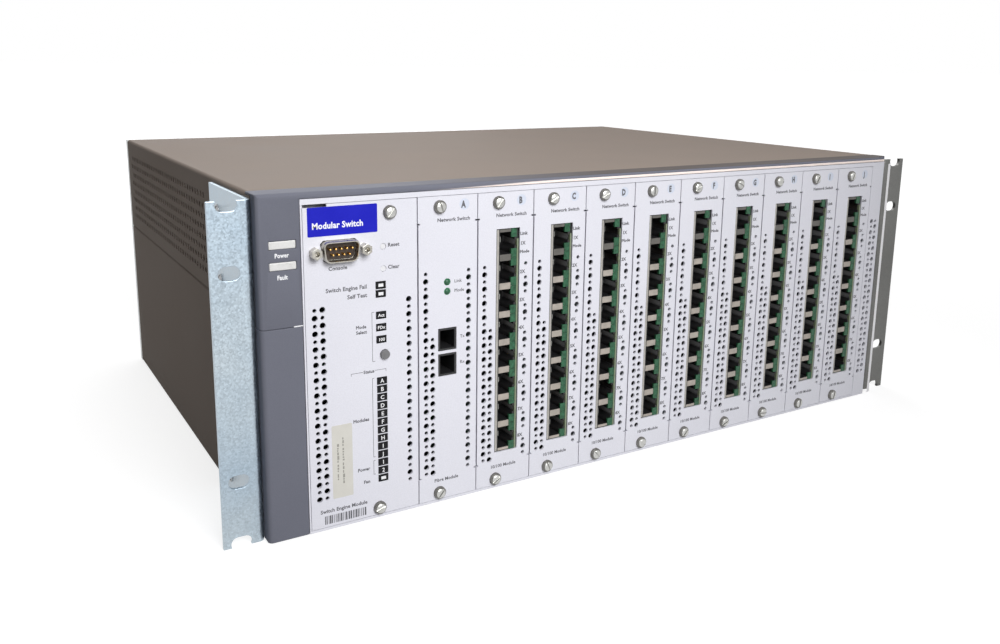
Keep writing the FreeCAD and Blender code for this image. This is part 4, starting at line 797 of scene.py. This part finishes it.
lines = []
for words, inset, height, size, side in (
        ("Console", 16.7, 131.1, 1.9, "CENTER"), ("Reset", 42.6, 140.1, 1.85, "LEFT"),
        ("Clear", 42.6, 129.0, 1.85, "LEFT"), ("Switch Engine Fail", 31.3, 120.4, 1.98, "RIGHT"),
        ("Self Test", 31.3, 116.1, 1.98, "RIGHT"), ("Mode", 30.6, 100.4, 1.6, "RIGHT"),
        ("Select", 30.9, 97.7, 1.6, "RIGHT"), ("Status", 31.6, 77.0, 1.6, "CENTER"),
        ("Modules", 31.3, 52.1, 1.7, "RIGHT"), ("Power", 31.3, 25.6, 1.7, "RIGHT"),
        ("Fan", 31.3, 18.6, 1.7, "RIGHT"), ("Switch Engine Module", 4.6, 7.6, 1.9, "LEFT")):
    lines.append(caption(words, *at_engine(inset, height), size*0.001, side=side, bold=0.00008))
printed("engine_captions", lines, dark_ink, "engine", "panel_paint")

rules = stroke((34.9, 107.9), (33.7, 107.9), (33.7, 82.6), (35.0, 82.6))
rules += stroke((22.3, 76.8), (22.3, 77.9), (28.4, 77.9)) + stroke((34.9, 77.9), (40.8, 77.9), (40.8, 76.8))
rules += stroke((34.3, 73.8), (33.4, 73.8), (33.4, 32.0), (34.3, 32.0))
rules += stroke((34.3, 30.0), (33.4, 30.0), (33.4, 22.6), (34.3, 22.6))
laid("engine_rules", rules, dark_ink, "engine", "panel_paint")

legend_black = surface("legend_black", (0.006, 0.006, 0.007), (0.016, 0.016, 0.018), patch=0.003, rough=0.45,
                       gloss=0.12)
legend_white = surface("legend_white", (0.70, 0.70, 0.72), (0.84, 0.84, 0.86), patch=0.002, rough=0.35)
legends = pressed("engine_indicators", "engine_legends", edge=0.00015)
fixed(painted(legends, legend_black), "engine", "legend_plastic", "engine_indicators")

legend_low, legend_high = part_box("engine_indicators")
legend_middle = (legend_low.x + legend_high.x)/2
legend_face = legend_low.y
FAN_UP, STATUS_PITCH = 0.0197, 0.004355
MODE_UP, MODE_PITCH, FAIL_UP, FAIL_PITCH = 0.0935, 0.00624, 0.1169, 0.00432
legends = [(words, FAN_UP + (number + 1)*STATUS_PITCH - 0.00105, 0.0021)
           for number, words in enumerate("21JIHGFEDCBA")]
legends += [(words, MODE_UP + number*MODE_PITCH - 0.0008, 0.0016)
            for number, words in enumerate(("100", "FDx", "Act"))]
lines = [caption(words, legend_middle, engine_low.z + up, size, side="CENTER", face=legend_face)
         for words, up, size in legends]
printed("legend_letters", lines, white_ink, "engine", "legend_plastic")
panes = []
for up in (FAN_UP, FAIL_UP, FAIL_UP + FAIL_PITCH):
    z = engine_low.z + up
    panes.append(((legend_middle - 0.0013, legend_face - 0.00006, z - 0.0008),
                  (legend_middle + 0.0013, legend_face + 0.0001, z + 0.0008)))
laid("legend_panes", panes, legend_white, "engine", "legend_plastic")

nickel = surface("nickel", (0.36, 0.345, 0.31), (0.54, 0.52, 0.475), patch=0.004, rough=0.28, metal=1.0,
                 grain=0.0005, depth=0.000004)
gold = surface("gold_plate", (0.62, 0.36, 0.10), (0.78, 0.48, 0.16), patch=0.002, rough=0.25, metal=1.0)
insert_brown = surface("insert_brown", (0.018, 0.011, 0.008), (0.035, 0.022, 0.015), patch=0.003, rough=0.5)


def d_outline(inset, wide=0.0094, tall=0.0052, lean=0.0011, curve=0.0034, steps=6):
    """A round-cornered D about the origin, smaller all round by inset."""
    wide, tall, curve = wide - inset, tall - inset, curve - inset
    corners = [Vector(corner) for corner in ((-wide, tall), (lean - wide, -tall), (wide - lean, -tall),
                                             (wide, tall))]
    points = []
    for n, corner in enumerate(corners):
        before = corner + (corners[n - 1] - corner).normalized()*curve
        after = corner + (corners[(n + 1) % 4] - corner).normalized()*curve
        for step in range(steps + 1):
            part = step/steps
            points.append(before*(1 - part)**2 + corner*2*part*(1 - part) + after*part**2)
    return points


def d_solid(name, x, z, rings):
    """A closed D-shaped solid through rings, each an inset and a place along the depth."""
    body = bmesh.new()
    loops = [[body.verts.new((x + px, y, z + pz)) for px, pz in d_outline(inset)] for inset, y in rings]
    for near, far in zip(loops, loops[1:]):
        for n in range(len(near)):
            after = (n + 1) % len(near)
            body.faces.new((near[n], near[after], far[after], far[n]))
    body.faces.new(loops[0][::-1])
    body.faces.new(loops[-1])
    bmesh.ops.recalc_face_normals(body, faces=body.faces)
    return new_piece(name, body)


shell_low, shell_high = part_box("console_connector")
shell_x, shell_z = (shell_low.x + shell_high.x)/2, (shell_low.z + shell_high.z)/2
lip = shell_low.y
shell = d_solid("console_shell", shell_x, shell_z,
                [(0.0, shell_high.y), (0.0, lip + 0.0003), (0.0002, lip), (0.0007, lip), (0.0009, lip + 0.0003),
                 (0.0009, lip + 0.0044)])
fixed(smoothed(painted(shell, nickel), 35), "engine", "connector_steel", "console_connector")
insert = d_solid("console_insert", shell_x, shell_z,
                 [(0.0010, lip + 0.0046), (0.0010, lip + 0.0043), (0.0012, lip + 0.0040)])
fixed(smoothed(painted(insert, insert_brown), 35), "engine", "connector_steel")
PIN = [(0.0, -0.0042), (0.0006, -0.0042), (0.0006, -0.0006), (0.0004, -0.0002), (0.0, 0.0)]
pin_head = as_pattern(lathe("pin_head", PIN, 10, (0, -1, 0)))
PIN_PITCH, PIN_ROW, PIN_IN = 0.00277, 0.00142, 0.0006
spots = [(shell_x + (n - 2)*PIN_PITCH, lip + PIN_IN, shell_z + PIN_ROW) for n in range(5)]
spots += [(shell_x + (n - 1.5)*PIN_PITCH, lip + PIN_IN, shell_z - PIN_ROW) for n in range(4)]
fixed(stood_on("console_pins", spots, pin_head, (0, 1, 0), 1, gold), "engine", "connector_steel")
jacks = pressed("console_jackscrews", "console_standoffs", edge=0.00015)
fixed(painted(jacks, nickel), "engine", "connector_steel", "console_jackscrews")

button_plastic = surface("button_plastic", (0.10, 0.10, 0.105), (0.20, 0.20, 0.205), patch=0.003, rough=0.4)
small_plastic = surface("small_button_plastic", (0.62, 0.62, 0.64), (0.74, 0.74, 0.76), patch=0.003, rough=0.4)
for button, plastic in (("mode", button_plastic), ("reset", small_plastic), ("clear", small_plastic)):
    painted(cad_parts[f"{button}_button"], plastic)
dressed_card("engine", 5)


# ---------------------------------------------------------------- modules
# Ten painted panels, each on its own card. The first has a pair of square
# fibre sockets and two lamps; the rest have eight network sockets each.
socket_plastic = surface("socket_plastic", (0.010, 0.010, 0.011), (0.02, 0.02, 0.021), patch=0.01, rough=0.42)
socket_black = surface("socket_block", (0.008, 0.008, 0.009), (0.018, 0.018, 0.019), patch=0.01, rough=0.4)
bar_beige = surface("socket_bars", (0.22, 0.205, 0.18), (0.50, 0.445, 0.39), patch=0.004, rough=0.45)
shield_tin = surface("socket_shield", (0.30, 0.29, 0.27), (0.48, 0.46, 0.42), patch=0.002, rough=0.45, metal=0.2)
# Painted highlight: pale grey for blocks that stand for glints off the socket contacts.
glint_grey = surface("contact_comb", (0.22, 0.22, 0.20), (0.50, 0.50, 0.47), patch=0.0012, rough=0.35)
pipe_green = surface("light_pipe", (0.13, 0.165, 0.10), (0.27, 0.31, 0.21), patch=0.0025, rough=0.25)
lamp_green = surface("lamp_green", (0.0, 0.0, 0.0), (0.048, 0.20, 0.10), patch=0.0016, rough=0.15, gloss=0.3)
# Painted shade: a darker grey for the top bars of each socket block.
bar_painted_shade = surface("socket_bar_shade", (0.06, 0.058, 0.052), (0.15, 0.14, 0.125), patch=0.004, rough=0.5)
pale_disc = surface("letter_disc", (0.57, 0.61, 0.71), (0.62, 0.66, 0.76), patch=0.01, rough=0.45)


def notches(low, high, heights=(0.0134, 0.1496)):
    """Thin cuts at both edges of a panel at two heights, and the wider joint between them."""
    spans = []
    for height in heights:
        z = low.z + height
        for x in (low.x, high.x):
            spans.append(((x - 0.0012, FRONT - 0.001, z - 0.0004), (x + 0.0012, FRONT + 0.009, z + 0.0005)))
    spans.append(((low.x - 0.001, FRONT - 0.001, low.z + heights[0]),
                  (low.x + 0.0003, FRONT + 0.009, low.z + heights[1])))
    return blocks("notches", spans)


def make_contact_tree():
    """A tree that lays a row of contact wires in every socket of a block."""
    tree, given = new_tree("contacts", Wire="Object", First="Vector", Across="Vector", Down="Vector", Rows="Int",
                           Columns="Int", Finish="Material")
    line, column, row, spot = grid_points(tree, given)
    points = wired(tree, "GeometryNodeSetPosition", {"Geometry": line, "Position": spot})
    wire = wired(tree, "GeometryNodeObjectInfo", {"Object": given["Wire"]})
    wires = wired(tree, "GeometryNodeInstanceOnPoints", {"Points": points, "Instance": wire.outputs["Geometry"]})
    return end_tree(tree, wires, given["Finish"])


def bent_wire(name, path, thick):
    """A flat spring wire through points given across and back."""
    body = bmesh.new()
    square = ((-1, -1), (1, -1), (1, 1), (-1, 1))
    rings = [[body.verts.new((x + dx*thick, y, dz*thick)) for dx, dz in square] for x, y in path]
    for near, far in zip(rings, rings[1:]):
        for n in range(4):
            body.faces.new((near[n], near[(n + 1) % 4], far[(n + 1) % 4], far[n]))
    body.faces.new(rings[0][::-1])
    body.faces.new(rings[-1])
    bmesh.ops.recalc_face_normals(body, faces=body.faces)
    return as_pattern(new_piece(name, body))


CONTACTS = make_contact_tree()
contact = bent_wire("contact", [(0.0, 0.0), (0.0022, 0.0035), (0.0010, 0.0090)], 0.00018)

PORT_PITCH, JACK_TALL, JACK_WIDE, SIDE_WALL = 0.01554, 0.0119, 0.0074, 0.0023
WIRE_PITCH, BLOCK_SHIFT, BEIGE_BARS = 0.00102, 0.00025, 7


def fibre_front(body, low):
    """The first module's fibre sockets and its two domed lamps."""
    painted(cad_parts[f"{body}_sockets"], socket_plastic)
    dome = [(0.0, -0.004), (0.0017, -0.004), (0.0017, 0.0), (0.0014, 0.0008), (0.0008, 0.0012), (0.0, 0.0013)]
    for n in range(2):
        lamp = lathe(f"{body}_lamp_{n + 1}", dome, 20, (0, -1, 0))
        lamp.data.transform(Matrix.Translation((low.x + 0.01645, FRONT + 0.0008, low.z + 0.1137 + n*0.005)))
        fixed(smoothed(painted(lamp, lamp_green), 40), body, "card_laminate")


def network_front(body):
    """A block of eight sockets, with its bars (the top ones in painted shade), lamps, shield, light pipe, contacts
    and painted glints on the contacts.
    """
    low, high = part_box(f"{body}_ports")
    block = pressed(f"{body}_ports", f"{body}_sockets_block", edge=0.0)
    fixed(painted(block, socket_black), body, "socket_plastic", f"{body}_ports")
    wall, foot = low.x + SIDE_WALL, low.z - BLOCK_SHIFT
    far = wall + JACK_WIDE
    half = (PORT_PITCH - JACK_TALL)/2 - 0.0001
    bars, lamps, glint_spans = [], [], []
    for n in range(9):
        middle = foot + n*PORT_PITCH
        bars.append(((wall, low.y - 0.0001, max(middle - half, low.z)),
                     (far + 0.0002, low.y + 0.001, min(middle + half, high.z))))
    for n in range(8):
        middle = foot + (n + 0.5)*PORT_PITCH
        # Painted highlight: a pale grey block near the left wall of every socket stands for the glint off its
        # contacts.
        glint_spans.append(((wall + 0.0003, low.y + 0.0014, middle + 0.0006),
                      (wall + 0.0012, low.y + 0.004, middle + 0.0034)))
        for way in (-1, 1):
            z0, z1 = sorted((middle + way*0.0031, middle + way*(PORT_PITCH/2 - 0.0001)))
            lamps.append(((far - 0.0006, FRONT + 0.0005, z0), (high.x - 0.0008, low.y + 0.0008, z1)))
    # The top bars of each block take a darker grey: painted shade on the same beige bars.
    laid(f"{body}_socket_bars", bars[:BEIGE_BARS], bar_beige, body, "socket_plastic")
    laid(f"{body}_upper_bars", bars[BEIGE_BARS:], bar_painted_shade, body, "socket_plastic")
    laid(f"{body}_socket_lamps", lamps, lamp_green, body, "socket_plastic")
    laid(f"{body}_contact_combs", glint_spans, glint_grey, body, "socket_plastic")
    strip = ((low.x + 0.0005, low.y - 0.00015, low.z), (low.x + 0.0017, low.y + 0.002, high.z))
    laid(f"{body}_shield", [strip], shield_tin, body, "connector_steel")
    pipe = ((high.x - 0.0008, FRONT + 0.0002, low.z), (high.x + 0.0001, low.y + 0.001, high.z - 0.0055))
    laid(f"{body}_light_pipe", [pipe], pipe_green, body, "socket_plastic")
    wires = new_piece(f"{body}_contacts")
    first = (wall + 0.0001, low.y + 0.0012, foot + PORT_PITCH/2 - 3.5*WIRE_PITCH)
    run_tree(wires, CONTACTS, Wire=contact, First=first, Across=(0.0, 0.0, PORT_PITCH),
             Down=(0.0, 0.0, WIRE_PITCH), Rows=8, Columns=8, Finish=gold)
    fixed(painted(wires, gold), body, "connector_steel")


for number, letter in enumerate("abcdefghij"):
    body, fibre = f"module_{letter}", letter == "a"
    node = f"{body}_faceplate"
    plate = pressed(node, f"{body}_panel", edge=0.0002, tallest=True)
    corners = [vert.co for vert in plate.data.vertices]
    low = Vector([min(co[axis] for co in corners) for axis in range(3)])
    high = Vector([max(co[axis] for co in corners) for axis in range(3)])
    cut_with(plate, notches(low, high))
    top = low.z + 0.12386
    vent(plate, low.x + 0.0042, top, 29)
    vent(plate, low.x + 0.0080, top - 9*VENT_PITCH, 20)
    if fibre:
        vent(plate, low.x + 0.0289, top, 29)
    else:
        vent(plate, low.x + 0.0296, top, 29, skip={"Skip_step": 4.0, "Skip_row": 1.0})
    fixed(smoothed(painted(plate, panel_paint), 1), body, "panel_paint", node)
    spots = [(low.x + 0.01175, FRONT, low.z + CAPTIVE_UP), (low.x + 0.0121, FRONT, high.z - 0.0053)]
    captive_screws(body, spots, 20 + number, node)

    disc_x, disc_z = low.x + 0.0263, low.z + 0.1584
    edge = INK_LIFT/2
    disc = lathe(f"{body}_letter_disc", [(0.0, -edge), (0.0029, -edge), (0.0029, edge), (0.0, edge)], 24, (0, -1, 0))
    disc.data.transform(Matrix.Translation((disc_x, FRONT, disc_z)))
    fixed(painted(disc, pale_disc), body, "panel_paint")
    name = caption(letter.upper(), disc_x - 0.0006, disc_z - 0.0017, 0.0033, side="CENTER", narrow=0.72,
                   bold=0.00026)
    lines = [caption("Network Switch", low.x + 0.0108, low.z + 0.1502, 0.0018, narrow=1.06, bold=0.00008),
             caption("Fibre Module" if fibre else "10/100 Module", low.x + 0.0088, low.z + 0.0100, 0.0018,
                     bold=0.00007)]
    if fibre:
        lines += [caption(words, low.x + inset, low.z + up, 0.0017) for words, inset, up in (
            ("Link", 0.0205, 0.1180), ("Mode", 0.0205, 0.1130), ("Tx", 0.0239, 0.0880), ("Rx", 0.0239, 0.0740))]
    else:
        lines += [caption("Link", low.x + 0.0257, low.z + 0.1395, 0.0017, narrow=1.08, bold=0.0001),
                  caption("Mode", low.x + 0.0257, low.z + 0.1297, 0.0016, narrow=1.08, bold=0.0001)]
        lines += [caption(f"{n + 1}X", low.x + 0.0259, low.z + 0.1342 - n*PORT_PITCH, 0.0018, bold=0.0001)
                  for n in range(8)]
    printed(f"{body}_letter", [name], dark_ink, body, "panel_paint")
    printed(f"{body}_captions", lines, dark_ink, body, "panel_paint")

    if fibre:
        fibre_front(body, low)
    else:
        network_front(body)
    dressed_card(body, 40 + number)


# ---------------------------------------------------------------- rear
# A plated rear panel, two supplies in steel cases with a handle, two thumb
# screws and a mains inlet each, and two exhaust fans behind slotted grilles.
rear_zinc = make_zinc("rear_zinc", (0.34, 0.35, 0.35), (0.50, 0.51, 0.51), spangle=0.0035)
panel = pressed("rear_panel", "rear_tray", edge=0.0002)
fixed(smoothed(painted(panel, rear_zinc), 1), "chassis", "plated_steel", "rear_panel")
fan_plastic = surface("fan_plastic", (0.012, 0.012, 0.013), (0.026, 0.026, 0.028), rough=0.42)
for side in ("left", "right"):
    case = pressed(f"supply_{side}_case", f"supply_{side}_shell", edge=0.0003)
    fixed(smoothed(painted(case, rear_zinc), 1), f"supply_{side}", "supply_steel", f"supply_{side}_case")
    painted(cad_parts[f"supply_{side}_inlet"], socket_plastic)
    painted(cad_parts[f"fan_frame_{side}"], fan_plastic)
    painted(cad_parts[f"fan_rotor_{side}"], fan_plastic)

for pattern in PATTERNS:
    bpy.data.objects.remove(pattern)
